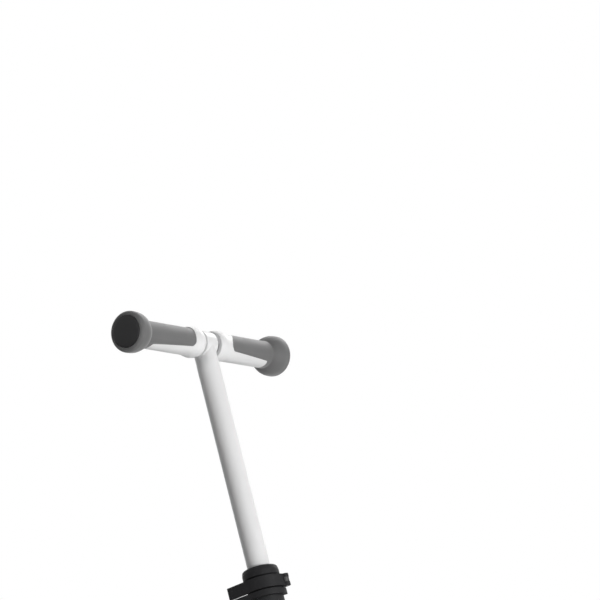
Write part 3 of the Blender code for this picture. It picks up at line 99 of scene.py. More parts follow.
def meshObject(name, bm, place=None):
    # a mesh set in the row's own coordinates, with its faces pointing out
    bmesh.ops.remove_doubles(bm, verts=bm.verts, dist=0.0000005)
    bmesh.ops.recalc_face_normals(bm, faces=bm.faces)
    if place is not None:
        bm.transform(place)
    mesh = bpy.data.meshes.new(name)
    bm.to_mesh(mesh)
    bm.free()
    made = bpy.data.objects.new(name, mesh)
    bpy.context.scene.collection.objects.link(made)
    return made


def loft(name, rings, place=None, closed=False):
    # quads between rings of points, and a fan where a ring is a single point
    bm = bmesh.new()
    rows = [[bm.verts.new(p) for p in ring] for ring in rings]
    pairs = list(zip(rows, rows[1:]))
    if closed:
        pairs.append((rows[-1], rows[0]))
    for upper, lower in pairs:
        count = max(len(upper), len(lower))
        for i in range(count):
            j = (i + 1) % count
            spots = [upper[i % len(upper)], upper[j % len(upper)], lower[j % len(lower)],
                     lower[i % len(lower)]]
            face = [v for k, v in enumerate(spots) if v not in spots[:k]]
            if len(face) > 2:
                bm.faces.new(face)
    if not closed:
        for row in (rows[0], rows[-1]):
            if len(row) > 2:
                bm.faces.new(row)
    return meshObject(name, bm, place)


def lathe(name, profile, place, sides=72, squash=None):
    # the profile runs down the outside as (radius, height) or (radius, height, fillet)
    loop = profile[0][0] > 0
    rings = []
    for r, h in rounded(profile, closed=loop):
        if r < 0.0000001:
            rings.append([(0, 0, h)])
            continue
        ring = []
        for i in range(sides):
            a = math.tau * i / sides
            spot = (r * math.cos(a), r * math.sin(a), h)
            ring.append(squash(*spot) if squash else spot)
        rings.append(ring)
    return loft(name, rings, place, closed=loop)


def rod(radius, low, high, place, edge=0.0, sides=48):
    profile = [(0, high), (radius, high, edge), (radius, low, edge), (0, low)]
    return lathe("rod", profile, place, sides)


def slab(outline, low, high, edge=0.0, place=None, steps=3):
    # an outline stood up between two heights, with its long edges rounded
    count = len(outline)
    area = sum(outline[i - 1][0] * outline[i][1] - outline[i][0] * outline[i - 1][1] for i in range(count))
    turn = 1 if area > 0 else -1
    inward = []
    for i in range(count):
        (x0, y0), (x, y), (x1, y1) = outline[i - 1], outline[i], outline[(i + 1) % count]
        ax, ay, bx, by = x - x0, y - y0, x1 - x, y1 - y
        la, lb = math.hypot(ax, ay) or 1, math.hypot(bx, by) or 1
        nx = -turn * (ay / la + by / lb)
        ny = turn * (ax / la + bx / lb)
        size = nx * nx + ny * ny or 1
        inward.append((2 * nx / size, 2 * ny / size))
    levels = [(0, low), (0, high)]
    if edge > 0:
        angles = [math.pi / 2 * k / steps for k in range(steps + 1)]
        levels = [(edge * (1 - math.sin(a)), low + edge * (1 - math.cos(a))) for a in angles]
        levels += [(d, low + high - z) for d, z in reversed(levels)]
    rings = []
    for d, z in levels:
        rings.append([(x + nx * d, y + ny * d, z) for (x, y), (nx, ny) in zip(outline, inward)])
    return loft("slab", rings, place)


def hullOf(discs, step=8):
    # the outline stretched round discs of (u, v, radius)
    points = []
    for u, v, radius in discs:
        for k in range(360 // step):
            a = math.radians(k * step)
            points.append((u + radius * math.cos(a), v + radius * math.sin(a)))
    return [points[i] for i in convex_hull_2d(points)]


def block(low, high, place=None, edge=0.0):
    outline = [(low[0], low[1]), (high[0], low[1]), (high[0], high[1]), (low[0], high[1])]
    return slab(outline, low[2], high[2], edge, place)


def standing(outline, low, high, edge=0.0, place=Matrix(), steps=3):
    # an outline in x and z, run from low to high across the scooter
    return slab(outline, -high, -low, edge, place @ Matrix.Rotation(math.pi / 2, 4, "X"), steps)


def sizeIn(node, place):
    # a CAD node's lowest and highest corners in a place's own coordinates
    back = place.inverted()
    spots = [back @ v.co for v in frame["nodes"][node].data.vertices]
    return [Vector([pick(s[i] for s in spots) for i in range(3)]) for pick in (min, max)]


def arc(radius, first, last, step=math.radians(5)):
    count = math.ceil(abs(last - first) / step)
    angles = [first + (last - first) * i / count for i in range(count + 1)]
    return [(radius * math.cos(a), radius * math.sin(a)) for a in angles]


def ribbon(path, thickness):
    # the outline of a strip along a path, of one thickness or one for each point
    sides = ([], [])
    for i, (x, y) in enumerate(path):
        x0, y0 = path[max(i - 1, 0)]
        x1, y1 = path[min(i + 1, len(path) - 1)]
        length = math.hypot(x1 - x0, y1 - y0)
        nx, ny = -(y1 - y0) / length, (x1 - x0) / length
        half = (thickness[i] if isinstance(thickness, list) else thickness) / 2
        sides[0].append((x + nx * half, y + ny * half))
        sides[1].append((x - nx * half, y - ny * half))
    return sides[0] + sides[1][::-1]


def wireAlong(points, radius, place, sides=3):
    # a round wire through the points, with flat ends
    curve = bpy.data.curves.new("wire", "CURVE")
    curve.dimensions = "3D"
    curve.bevel_depth = radius
    curve.bevel_resolution = sides
    curve.use_fill_caps = True
    spline = curve.splines.new("POLY")
    spline.points.add(len(points) - 1)
    for point, spot in zip(spline.points, points):
        point.co = (*spot, 1)
    guide = bpy.data.objects.new("wire", curve)
    bpy.context.scene.collection.objects.link(guide)
    bpy.context.view_layer.update()
    raw = bpy.data.meshes.new_from_object(guide.evaluated_get(bpy.context.evaluated_depsgraph_get()))
    bm = bmesh.new()
    bm.from_mesh(raw)
    bpy.data.objects.remove(guide, do_unlink=True)
    bpy.data.meshes.remove(raw)
    return meshObject("wire", bm, place)


def settle(made):
    # the modifiers' result becomes the mesh
    bpy.context.view_layer.update()
    seen = made.evaluated_get(bpy.context.evaluated_depsgraph_get())
    fresh = bpy.data.meshes.new_from_object(seen)
    made.modifiers.clear()
    old = made.data
    made.data = fresh
    bpy.data.meshes.remove(old)
    return made


def carve(made, tools, operation="DIFFERENCE"):
    # every tool in one exact step, so that no rounding builds up between them
    group = bpy.data.collections.new("tools")
    for tool in tools:
        group.objects.link(tool)
    step = made.modifiers.new("carve", "BOOLEAN")
    step.operation = operation
    step.operand_type = "COLLECTION"
    step.collection = group
    settle(made)
    bpy.data.collections.remove(group)
    for tool in tools:
        bpy.data.objects.remove(tool, do_unlink=True)
    return made


def weld(made, *tools):
    return carve(made, tools, "UNION")


def cutBy(made, *tools):
    return carve(made, tools)


def soften(made, width, segments=3, angle=32):
    step = made.modifiers.new("soften", "BEVEL")
    step.width = width
    step.segments = segments
    step.limit_method = "ANGLE"
    step.angle_limit = math.radians(angle)
    step.use_clamp_overlap = True
    return settle(made)


def finishPiece(made, name, finish, body, nodes=(), angle=38):
    mesh = made.data
    made.name = name
    mesh.name = name
    mesh.materials.clear()
    mesh.materials.append(finish)
    mesh.shade_smooth()
    mesh.set_sharp_from_angle(angle=math.radians(angle))
    step = made.modifiers.new("even", "WEIGHTED_NORMAL")
    step.keep_sharp = True
    settle(made)
    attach(made, body)
    for node in nodes:
        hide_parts(node)
    return made


# Finishes: colour, gloss and small relief, all from noise in the object's own coordinates
def makeFinish(name, colour, rough, metallic=0.0, grain=900, relief=0.00002, mottle=0.03, patch=35,
               roughSpread=0.06, coat=0.0, stretch=(1, 1, 1), wear=0.0, wearColour=None, sheen=0.0,
               gloss=0.5):
    made = bpy.data.materials.new(name)
    made.use_nodes = True
    tree = made.node_tree
    nodes, link = tree.nodes, tree.links.new
    shader = nodes["Principled BSDF"]
    shader.inputs["Metallic"].default_value = metallic
    shader.inputs["Specular IOR Level"].default_value = gloss
    shader.inputs["Coat Weight"].default_value = coat
    shader.inputs["Coat Roughness"].default_value = 0.12
    shader.inputs["Sheen Weight"].default_value = sheen
    shader.inputs["Sheen Roughness"].default_value = 0.5
    where = nodes.new("ShaderNodeTexCoord")
    along = nodes.new("ShaderNodeMapping")
    along.inputs["Scale"].default_value = stretch
    link(where.outputs["Object"], along.inputs["Vector"])

    def noise(scale, detail, roughness=0.55):
        made = nodes.new("ShaderNodeTexNoise")
        made.inputs["Scale"].default_value = scale
        made.inputs["Detail"].default_value = detail
        made.inputs["Roughness"].default_value = roughness
        link(along.outputs["Vector"], made.inputs["Vector"])
        return made.outputs["Fac"]

    def spread(value, low, high):
        made = nodes.new("ShaderNodeMapRange")
        made.inputs["From Min"].default_value = 0.3
        made.inputs["From Max"].default_value = 0.7
        made.inputs["To Min"].default_value = low
        made.inputs["To Max"].default_value = high
        link(value, made.inputs["Value"])
        return made.outputs["Result"]

    patches = noise(patch, 4)
    fine = noise(grain, 3, 0.6)
    tone = nodes.new("ShaderNodeMix")
    tone.data_type = "RGBA"
    tone.inputs["A"].default_value = (*[c * (1 - mottle) for c in colour], 1)
    tone.inputs["B"].default_value = (*[min(1, c * (1 + mottle)) for c in colour], 1)
    link(spread(patches, 0, 1), tone.inputs["Factor"])
    shown = tone.outputs["Result"]
    if wear > 0:
        geometry = nodes.new("ShaderNodeNewGeometry")
        edge = nodes.new("ShaderNodeMapRange")
        edge.inputs["From Min"].default_value = 0.52
        edge.inputs["From Max"].default_value = 0.60
        edge.inputs["To Max"].default_value = wear
        link(geometry.outputs["Pointiness"], edge.inputs["Value"])
        broken = nodes.new("ShaderNodeMath")
        broken.operation = "MULTIPLY"
        link(edge.outputs["Result"], broken.inputs[0])
        link(spread(patches, 0.2, 1), broken.inputs[1])
        rubbed = nodes.new("ShaderNodeMix")
        rubbed.data_type = "RGBA"
        rubbed.inputs["B"].default_value = (*wearColour, 1)
        link(broken.outputs["Value"], rubbed.inputs["Factor"])
        link(shown, rubbed.inputs["A"])
        shown = rubbed.outputs["Result"]
    link(shown, shader.inputs["Base Color"])
    link(spread(patches, rough - roughSpread / 2, rough + roughSpread / 2), shader.inputs["Roughness"])
    bump = nodes.new("ShaderNodeBump")
    bump.inputs["Strength"].default_value = 1.0
    bump.inputs["Distance"].default_value = relief
    link(fine, bump.inputs["Height"])
    link(bump.outputs["Normal"], shader.inputs["Normal"])
    made.diffuse_color = (*colour, 1)
    return made


whitePaint = makeFinish("whitePaint", (0.80, 0.80, 0.80), 0.36, grain=700, relief=0.00001, mottle=0.008,
                        gloss=0.35)
whiteShell = makeFinish("whiteShell", (0.80, 0.80, 0.80), 0.42, grain=1400, relief=0.00001, mottle=0.012,
                        gloss=0.35)
softGrip = makeFinish("softGrip", (0.140, 0.140, 0.140), 0.62, grain=1500, relief=0.00004, mottle=0.05,
                      roughSpread=0.10, sheen=0.40, wear=0.15, wearColour=(0.20, 0.20, 0.20), gloss=0.25)
capShell = makeFinish("capShell", (0.024, 0.024, 0.025), 0.52, grain=1600, relief=0.00003, mottle=0.06,
                      gloss=0.25)
blackShell = makeFinish("blackShell", (0.016, 0.016, 0.017), 0.52, grain=1300, relief=0.00004, mottle=0.08,
                        wear=0.15, wearColour=(0.05, 0.05, 0.05), gloss=0.15)
blackPaint = makeFinish("blackPaint", (0.018, 0.018, 0.019), 0.36, grain=800, relief=0.00002, mottle=0.06,
                        coat=0.10,
                        gloss=0.3)
greyShell = makeFinish("greyShell", (0.20, 0.20, 0.20), 0.50, grain=1000, relief=0.00005, mottle=0.05,
                       wear=0.25, wearColour=(0.34, 0.34, 0.34))
matRubber = makeFinish("matRubber", (0.050, 0.050, 0.052), 0.72, grain=1200, relief=0.00006, mottle=0.10,
                       wear=0.35, wearColour=(0.12, 0.12, 0.12))
bufferRubber = makeFinish("bufferRubber", (0.07, 0.07, 0.07), 0.66, grain=1200, relief=0.00005, mottle=0.08)
castTyre = makeFinish("castTyre", (0.24, 0.24, 0.24), 0.48, grain=900, relief=0.00003, mottle=0.06,
                      roughSpread=0.16, wear=0.2, wearColour=(0.32, 0.32, 0.32))
zincSteel = makeFinish("zincSteel", (0.56, 0.56, 0.58), 0.30, metallic=1.0, grain=1500, relief=0.00001,
                       mottle=0.08, roughSpread=0.14, stretch=(1, 1, 1))
springSteel = makeFinish("springSteel", (0.42, 0.42, 0.44), 0.28, metallic=1.0, grain=1800, relief=0.00001,
                         mottle=0.10)
nylonBush = makeFinish("nylonBush", (0.62, 0.61, 0.57), 0.44, grain=1400, relief=0.00002, mottle=0.03)
blackSteel = makeFinish("blackSteel", (0.06, 0.06, 0.06), 0.42, metallic=0.8, grain=1500, relief=0.00001,
                        mottle=0.08)
sealRubber = makeFinish("sealRubber", (0.03, 0.03, 0.03), 0.55, grain=1500, relief=0.00003, mottle=0.05)
print("stage: finishes made")


# Camera: the photograph's long view from the front right, a little below the handlebar
shot = {
    "azimuth": math.radians(34.55),
    "elevation": math.radians(-7.64),
    "distance": 4.5,
    "pixelsPerTurn": 4050,      # focal length in pixels of the 600-pixel frame
    "frame": 600,
    "barX": 202.7,              # where the bar's middle lands in the photograph
    "barY": 344.4,
}


def makeCamera():
    a, e = shot["azimuth"], shot["elevation"]
    towards = Vector((math.sin(a) * math.cos(e), -math.cos(a) * math.cos(e), math.sin(e)))
    right = Vector((math.cos(a), math.sin(a), 0))
    up = towards.cross(right)
    focal = shot["pixelsPerTurn"]
    x = (shot["barX"] - shot["frame"] / 2) / focal
    y = (shot["frame"] / 2 - shot["barY"]) / focal
    data = bpy.data.cameras.new("photoCamera")
    data.sensor_width = 36
    data.lens = 36 * focal / shot["frame"]
    data.clip_end = 50
    made = bpy.data.objects.new("photoCamera", data)
    bpy.context.scene.collection.objects.link(made)
    turn = Matrix((right, up, towards)).transposed().to_4x4()
    spot = barCentre + (towards - right * x - up * y) * shot["distance"]
    made.matrix_world = Matrix.Translation(spot) @ turn
    bpy.context.scene.camera = made


# Studio: a pale floor, light from the right, from low in front and from above behind, and a dark left side
studio = {
    "topPower": 21,
    "rightPower": 25,
    "frontPower": 25,
    "lowPower": 36,
    "worldLow": 0.05,
    "worldHigh": 0.12,
    "floorTone": (0.86, 0.86, 0.86),
}


def makeLamp(name, power, size, spot, aim):
    data = bpy.data.lights.new(name, "AREA")
    data.energy = power
    data.shape = "SQUARE"
    data.size = size
    made = bpy.data.objects.new(name, data)
    bpy.context.scene.collection.objects.link(made)
    towards = (Vector(spot) - Vector(aim)).normalized()
    made.matrix_world = Matrix.Translation(spot) @ towards.to_track_quat("Z", "Y").to_matrix().to_4x4()


def makeStudio():
    aim = (0.03, 0, 0.58)
    makeLamp("topLight", studio["topPower"], 1.2, (-1.03, 1.54, 2.80), aim)
    makeLamp("rightLight", studio["rightPower"], 1.0, (-0.16, 2.37, 2.24), aim)
    makeLamp("frontLight", studio["frontPower"], 1.0, (2.82, -0.52, 1.18), aim)
    makeLamp("lowLight", studio["lowPower"], 0.5, (2.80, -0.77, 0.27), aim)
    world = bpy.data.worlds.new("studioWorld")
    bpy.context.scene.world = world
    world.use_nodes = True
    nodes, link = world.node_tree.nodes, world.node_tree.links.new
    nodes.clear()
    where = nodes.new("ShaderNodeTexCoord")
    side = nodes.new("ShaderNodeVectorMath")
    side.operation = "DOT_PRODUCT"
    side.inputs[1].default_value = (0.807, 0.591, 0.0)
    link(where.outputs["Generated"], side.inputs[0])
    ramp = nodes.new("ShaderNodeMapRange")
    ramp.inputs["From Min"].default_value = -0.75
    ramp.inputs["From Max"].default_value = 0.05
    ramp.inputs["To Min"].default_value = studio["worldLow"]
    ramp.inputs["To Max"].default_value = studio["worldHigh"]
    link(side.outputs["Value"], ramp.inputs["Value"])
    soft = nodes.new("ShaderNodeBackground")
    link(ramp.outputs["Result"], soft.inputs["Strength"])
    white = nodes.new("ShaderNodeBackground")
    white.inputs["Strength"].default_value = 1.0
    paths = nodes.new("ShaderNodeLightPath")
    seen = nodes.new("ShaderNodeMath")
    seen.operation = "MAXIMUM"
    link(paths.outputs["Is Camera Ray"], seen.inputs[0])
    link(paths.outputs["Is Transmission Ray"], seen.inputs[1])
    shown = nodes.new("ShaderNodeMath")
    shown.operation = "MAXIMUM"
    link(seen.outputs["Value"], shown.inputs[0])
    link(paths.outputs["Is Glossy Ray"], shown.inputs[1])
    mix = nodes.new("ShaderNodeMixShader")
    link(shown.outputs["Value"], mix.inputs["Fac"])
    link(soft.outputs["Background"], mix.inputs[1])
    link(white.outputs["Background"], mix.inputs[2])
    out = nodes.new("ShaderNodeOutputWorld")
    link(mix.outputs["Shader"], out.inputs["Surface"])
    for background in (soft, white):
        background.inputs["Color"].default_value = (1, 1, 1, 1)
    floor = lathe("studioFloor", [(0, 0), (3.0, 0), (3.0, -0.01), (0, -0.01)], None, 48)
    floor.data.materials.append(makeFloorFinish())
    floor.name = "studioFloor"
    bpy.context.scene.view_settings.view_transform = "Standard"


def makeFloorFinish():
    # pale near the object, and fading to the white background further out
    made = bpy.data.materials.new("studioFloor")
    made.use_nodes = True
    nodes, link = made.node_tree.nodes, made.node_tree.links.new
    shader = nodes["Principled BSDF"]
    shader.inputs["Base Color"].default_value = (*studio["floorTone"], 1)
    shader.inputs["Roughness"].default_value = 0.75
    where = nodes.new("ShaderNodeTexCoord")
    reach = nodes.new("ShaderNodeVectorMath")
    reach.operation = "LENGTH"
    link(where.outputs["Object"], reach.inputs[0])
    fade = nodes.new("ShaderNodeMapRange")
    fade.interpolation_type = "SMOOTHSTEP"
    fade.inputs["From Min"].default_value = 0.5
    fade.inputs["From Max"].default_value = 1.3
    link(reach.outputs["Value"], fade.inputs["Value"])
    white = nodes.new("ShaderNodeEmission")
    paths = nodes.new("ShaderNodeLightPath")
    far = nodes.new("ShaderNodeMath")
    far.operation = "MULTIPLY"
    link(fade.outputs["Result"], far.inputs[0])
    link(paths.outputs["Is Camera Ray"], far.inputs[1])
    mix = nodes.new("ShaderNodeMixShader")
    link(far.outputs["Value"], mix.inputs["Fac"])
    link(shader.outputs["BSDF"], mix.inputs[1])
    link(white.outputs["Emission"], mix.inputs[2])
    link(mix.outputs["Shader"], nodes["Material Output"].inputs["Surface"])
    return made


makeCamera()
makeStudio()
print("stage: camera and studio set")


# Handlebar
tee = {
    "tube": 0.0127,             # stem tube's radius
    "sleeve": 0.0147,           # radius of the sleeve round the bar
    "half": 0.010,              # half the sleeve's length
    "wall": 0.0015,
    "swell": 0.0009,            # the tube's swelling where it meets the sleeve
    "swellFrom": 0.032,
    "swellTo": 0.014,
    "fillet": 0.0012,
}


def makeUpperTube():
    bottom = sizeIn("upper_tube", stem)[0].z
    rings = []
    heights = [bottom, bottom + 0.001]
    heights += [barHeight - tee["swellFrom"] + 0.002 * k for k in range(10)] + [barHeight - 0.001]
    for h in heights:
        t = min(1, max(0, (h - (barHeight - tee["swellFrom"])) / (tee["swellFrom"] - tee["swellTo"])))
        t = t * t * (3 - 2 * t)
        rx = tee["tube"] + tee["swell"] * t
        ry = tee["tube"] + (tee["half"] - 0.0004 - tee["tube"]) * t
        rings.append([(rx * math.cos(math.tau * k / 96), ry * math.sin(math.tau * k / 96),
                       h) for k in range(96)])
    made = loft("upperTube", rings[::-1], stem)
    weld(made, rod(tee["sleeve"], -tee["half"], tee["half"], bar @ alongY, 0.0012, 96))
    soften(made, tee["fillet"], 4, 13)
    cutBy(made, rod(tee["tube"] - tee["wall"], bottom - 0.01, bottom + 0.05, stem, 0, 48))
    cutBy(made, rod(0.0113, -0.03, 0.03, bar @ alongY, 0, 64))
    finishPiece(made, "upperTube", whitePaint, "handlebar", ["upper_tube"])


gripSize = {
    "radius": 0.0155, "soft": 0.0022,
    "ballAt": 0.1325, "ball": 0.0229, "rimAt": 0.136, "rim": 0.023, "end": 0.1414,
    "cap": 0.0178, "capSink": 0.0018, "crown": 0.0022, "coreEnd": 0.128,
}
# the collar swells between the T and the panel: (distance from the stem, radius)
collarLine = [(0.015, 0.0140), (0.015, 0.0158, 0.0012), (0.0185, 0.0170, 0.004), (0.0235, 0.0175, 0.006),
              (0.0290, 0.0168, 0.006), (0.0345, 0.0155, 0.008)]
# the soft panel's edge as (distance from the stem, height on the grip), for each hand
panelLine = {
    "left": [(0.0500, 0.020), (0.0490, 0.0150, 0.004), (0.0385, 0.0040, 0.010), (0.0362, -0.0040, 0.005),
             (0.0400, -0.0087, 0.004), (0.1085, -0.0122, 0.003), (0.1085, -0.020)],
    "right": [(0.0300, 0.020), (0.0312, 0.0130, 0.004), (0.0330, 0.0020, 0.010), (0.0330, -0.0102, 0.006),
              (0.1085, -0.0137, 0.003), (0.1085, -0.020)],
}


def makeGrip(name, side):
    g = gripSize
    turned = bar @ Matrix.Rotation(-side * math.pi / 2, 4, "X")
    last = math.acos(g["radius"] / g["ball"])
    ball = [(g["ball"] * math.cos(last * i / 13),
             g["ballAt"] - g["ball"] * math.sin(last * i / 13)) for i in range(14)]
    ball[-1] = (*ball[-1], 0.003)
    ball = [(g["rim"], g["rimAt"])] + ball
    end = []
    lip = g["cap"] + gap
    for i in range(9):
        a = math.pi / 2 * (1 - i / 9)
        end.append((lip + (g["rim"] - lip) * math.cos(a), g["rimAt"] + (g["end"] - g["rimAt"]) * math.sin(a)))
    inside = g["radius"] - g["soft"]
    profile = [(0, g["end"] - g["capSink"]), (lip, g["end"] - g["capSink"]),
               (lip, g["end"], 0.0004)] + end[1:] + ball + [
        (g["radius"], 0.020), (inside, 0.020), (inside, g["coreEnd"] + gap), (0, g["coreEnd"] + gap)]
    soft = lathe("soft", profile, turned, 128)
    edge = panelLine[name]
    acrossBar = bar @ Matrix(((0, 0, 1, 0), (1, 0, 0, 0), (0, 1, 0, 0), (0, 0, 0, 1)))

    def window(shrink):
        corners = [(side * (p[0] - shrink), p[1] - shrink, *p[2:]) for p in edge]
        corners = [(side * 0.010, 0.022)] + [(corners[0][0], 0.022)] + corners[1:-1]
        corners += [(side * (0.1085 - shrink), -0.022), (side * 0.010, -0.022)]
        return slab(rounded(corners), -0.03, 0.03, 0, acrossBar)

    cutBy(soft, window(0))
    soften(soft, 0.0005, 3, 40)
    finishPiece(soft, f"softGrip.{name}", softGrip, "handlebar", [f"grip_{name}"])

    hard = [(r, y, *f) for y, r, *f in reversed(collarLine)]
    shell = lathe("shell", [(inside - gap - 0.0006, 0.1082),
                            (g["radius"], 0.1082)] + hard + [(inside - gap - 0.0006, 0.015)],
                  turned, 128)
    carve(shell, [window(0.00015)], "INTERSECT")
    core = lathe("core", [(0.0113, g["coreEnd"]), (inside - gap, g["coreEnd"]), (inside - gap, 0.0152),
                          (0.0113, 0.0152)],
                 turned, 96)
    weld(core, shell)
    soften(core, 0.0003, 2, 40)
    finishPiece(core, f"gripShell.{name}", whiteShell, "handlebar", [f"grip_core_{name}"])

    crown, capR, top = g["crown"], g["cap"], g["end"]
    dome = [(capR * math.sin(math.radians(a)), top + crown * math.cos(math.radians(a))) for a in range(0, 85,
                                                                                                       7)]
    base = top - g["capSink"] + gap
    cap = lathe("cap", dome + [(capR, top - 0.0001, 0.0003), (capR, base), (0, base)], turned, 96)
    finishPiece(cap, f"endCap.{name}", capShell, "handlebar", [f"end_cap_{name}"])


makeUpperTube()
for name, side in (("left", 1), ("right", -1)):
    makeGrip(name, side)
print("stage: handlebar made")


# Fasteners that several places share
def hexNut(radius, low, high, bore, place):
    # a six-sided nut with its corners turned off at both ends
    made = lathe("nut", [(radius, high), (radius, low), (bore, low), (bore, high)], place, 6)
    limit = lathe("round", [(0, high), (radius * 0.90, high), (radius * 1.02, high - radius * 0.10),
                            (radius * 1.02, low + radius * 0.10), (radius * 0.90, low), (0, low)], place, 48)
    carve(made, [limit], "INTERSECT")
    return soften(made, 0.00015, 2, 25)


def socketBolt(shank, head, low, seat, top, socket, place, rounding=0.0015, dip=0.0022):
    # a shank and a low round head with a six-sided socket
    made = lathe("bolt", [(0, top), (head, top, rounding), (head, seat, 0.0002), (shank, seat),
                          (shank, low, 0.0005), (0, low)], place, 64)
    cutBy(made, rod(socket, top - dip, top + 0.01, place, 0, 6))
    return soften(made, 0.00015, 2, 50)


# Column: the black tube, its rocker and the button
column = {
    "tube": 0.0145, "bore": 0.0130, "slit": 0.002, "slitLength": 0.040,
    "socket": 0.018, "socketTop": 0.078, "socketFloor": 0.014,
    "dome": 0.034, "fillet": 0.005, "base": 0.012, "flat": 0.030, "bushBore": 0.0066,
    "tongue": 0.004, "button": 0.050, "buttonHole": 0.0053,
}


def makeLowerTube():
    c = column
    low, high = sizeIn("lower_tube", stem)
    made = lathe("lowerTube", [(c["bore"], high.z), (c["tube"], high.z, 0.0003), (c["tube"], low.z),
                               (c["bore"], low.z)], stem, 96)
    half = c["slit"] / 2
    cutBy(made, block((-0.03, -half, high.z - c["slitLength"]), (0, half, high.z + 0.01), stem),
          rod(c["buttonHole"], 0, 0.03, stem @ Matrix.Translation((0, 0, c["button"])) @ alongX))
    finishPiece(made, "lowerTube", blackPaint, "column", ["lower_tube"])


def makeRocker():
    c = column
    ball, neck, f = c["dome"], c["socket"], c["fillet"]
    middle = math.sqrt((ball + f) ** 2 - (neck + f) ** 2)
    blend = math.atan2(neck + f, middle)
    profile = [(0, c["socketTop"]), (neck, c["socketTop"], 0.0018)]
    for i in range(9):
        a = math.pi + (math.pi / 2 - blend) * i / 8
        profile.append((neck + f + f * math.cos(a), middle + f * math.sin(a)))
    for i in range(1, 41):
        a = blend + (math.pi - blend) * i / 40
        profile.append((ball * math.sin(a), ball * math.cos(a)))
    profile[-1] = (0, -ball)
    made = lathe("rocker", profile, stem, 128)
    flatTop = math.sqrt(ball ** 2 - c["flat"] ** 2) + 0.001
    cutBy(made, block((-0.05, -0.05, -0.05), (0.05, 0.05, -c["base"]), upright),
          block((c["flat"], -0.05, -0.05), (0.06, 0.05, flatTop), upright),
          block((-0.06, -0.05, -0.05), (-c["flat"], 0.05, flatTop), upright))
    tongueEnd = sizeIn("steering_rocker", upright)[0].z
    weld(made, rod(c["tongue"], tongueEnd, -c["base"] + 0.002, upright, 0.0006))
    cutBy(made, rod(c["bushBore"], -0.05, 0.05, upright @ alongX),
          rod(c["tube"] + gap, c["socketFloor"], 0.12, stem, 0, 96),
          rod(c["buttonHole"], 0, 0.04, stem @ Matrix.Translation((0, 0, c["button"])) @ alongX))
    soften(made, 0.0006, 3, 40)
    finishPiece(made, "rocker", blackShell, "column", ["steering_rocker"])


def makeButton():
    place = stem @ Matrix.Translation((0, 0, column["button"])) @ alongX
    low, high = sizeIn("release_button", place)
    r, rim = column["buttonHole"] - gap, high.x
    flange = low.z + 0.0015
    made = lathe("button", [(0, high.z - 0.0005), (r * 0.6, high.z - 0.0003), (r, high.z, 0.0011),
                            (r, flange),
                            (rim, flange), (rim, low.z), (0, low.z)], place, 64)
    finishPiece(made, "releaseButton", greyShell, "button", ["release_button"])


# Height clamp: a split sleeve with a ring, two ears and a flange, closed by a lever
clamp = {
    "ring": 0.0205, "ringHeight": 0.011, "sleeve": 0.019, "lip": 0.004,
    "earReach": 0.028, "earThick": 0.0035, "slit": 0.002, "slitLength": 0.040,
    "leverHeight": 0.0133, "leverThick": 0.0040, "leverRoom": 0.0016,
    "flangeGap": 0.001, "flangeHeight": 0.0075, "flangeThick": 0.0050,
    "tip": (-0.031, -0.023), "bolt": 0.0025, "boltOut": 0.0230, "nut": 0.0045, "nutHeight": 0.004,
    "boss": 0.0045, "pin": 0.002, "eye": 0.005,
}
leverSpot = stem.inverted() @ leverPlace.translation
clampTop = sizeIn("clamp_body", stem)[1].z
clampSide = stem @ Matrix.Translation((0, 0, leverSpot.z)) @ Matrix.Rotation(math.pi / 4, 4, "Z")


def makeClamp():
    c = clamp
    bottom = sizeIn("clamp_body", stem)[0].z
    ring, sleeve, wide = c["ring"], c["sleeve"], column["tube"] + gap
    tight, under = tee["tube"] + gap, clampTop - c["ringHeight"]
    made = lathe("clamp", [(0, clampTop), (ring - 0.0012, clampTop, 0.0030),
                           (ring, clampTop - 0.0055, 0.0030),
                           (ring, under, 0.0006), (sleeve, under - 0.0012, 0.0006), (sleeve, bottom, 0.0008),
                           (0, bottom)], stem, 128)
    halfH = c["leverHeight"] / 2
    earOut = c["slit"] / 2 + c["earThick"]
    ears = standing(hullOf([(column["tube"] + 0.002, 0, halfH),
                            (c["earReach"] - halfH + 0.002, 0, halfH - 0.002)], 4),
                    -earOut, earOut, 0.0009, clampSide)
    flangeLow = leverSpot.z - halfH - c["flangeGap"] - c["flangeHeight"]
    middle = sleeve + c["leverRoom"] + c["leverThick"] - 0.0035
    path = arc(middle, math.radians(30), math.radians(-100))
    path.append((c["tip"][0] + 0.004, c["tip"][1] + 0.001))
    flange = slab(ribbon(path, c["flangeThick"]), flangeLow, flangeLow + c["flangeHeight"], 0.0010, stem)
    nub = block((tight + 0.001, -0.003, -0.002), (ring - 0.0022, 0.003, 0.0016),
                stem @ Matrix.Translation((0, 0, clampTop)) @ Matrix.Rotation(math.radians(62), 4, "Z"),
                0.0007)
    weld(made, ears, flange, nub)
    half = c["slit"] / 2
    low = clampTop - leverSpot.z - c["slitLength"]
    cutBy(made, block((0, -half, low), (0.04, half, 0.05), clampSide),
          rod(tight, clampTop - 0.02, clampTop + 0.01, stem, 0, 96),
          rod(wide, bottom - 0.01, clampTop - c["lip"], stem, 0, 96),
          rod(c["bolt"] + gap, -0.03, 0.03, clampSide @ Matrix.Translation((c["boltOut"], 0, 0)) @ alongY))
    soften(made, 0.0005, 3, 35)
    finishPiece(made, "clampBody", blackShell, "column", ["clamp_body"])
    nutPlace = clampSide @ Matrix.Translation((c["boltOut"], 0, 0)) @ alongY
    nut = hexNut(c["nut"], earOut + gap, earOut + gap + c["nutHeight"], c["bolt"] + gap, nutPlace)
    finishPiece(nut, "clampNut", blackSteel, "column", ["clamp_nut"])
    pin = rod(c["pin"], -halfH - gap, halfH + gap, leverPlace, 0.0003, 32)
    finishPiece(pin, "leverPin", blackSteel, "column", ["lever_pin"])


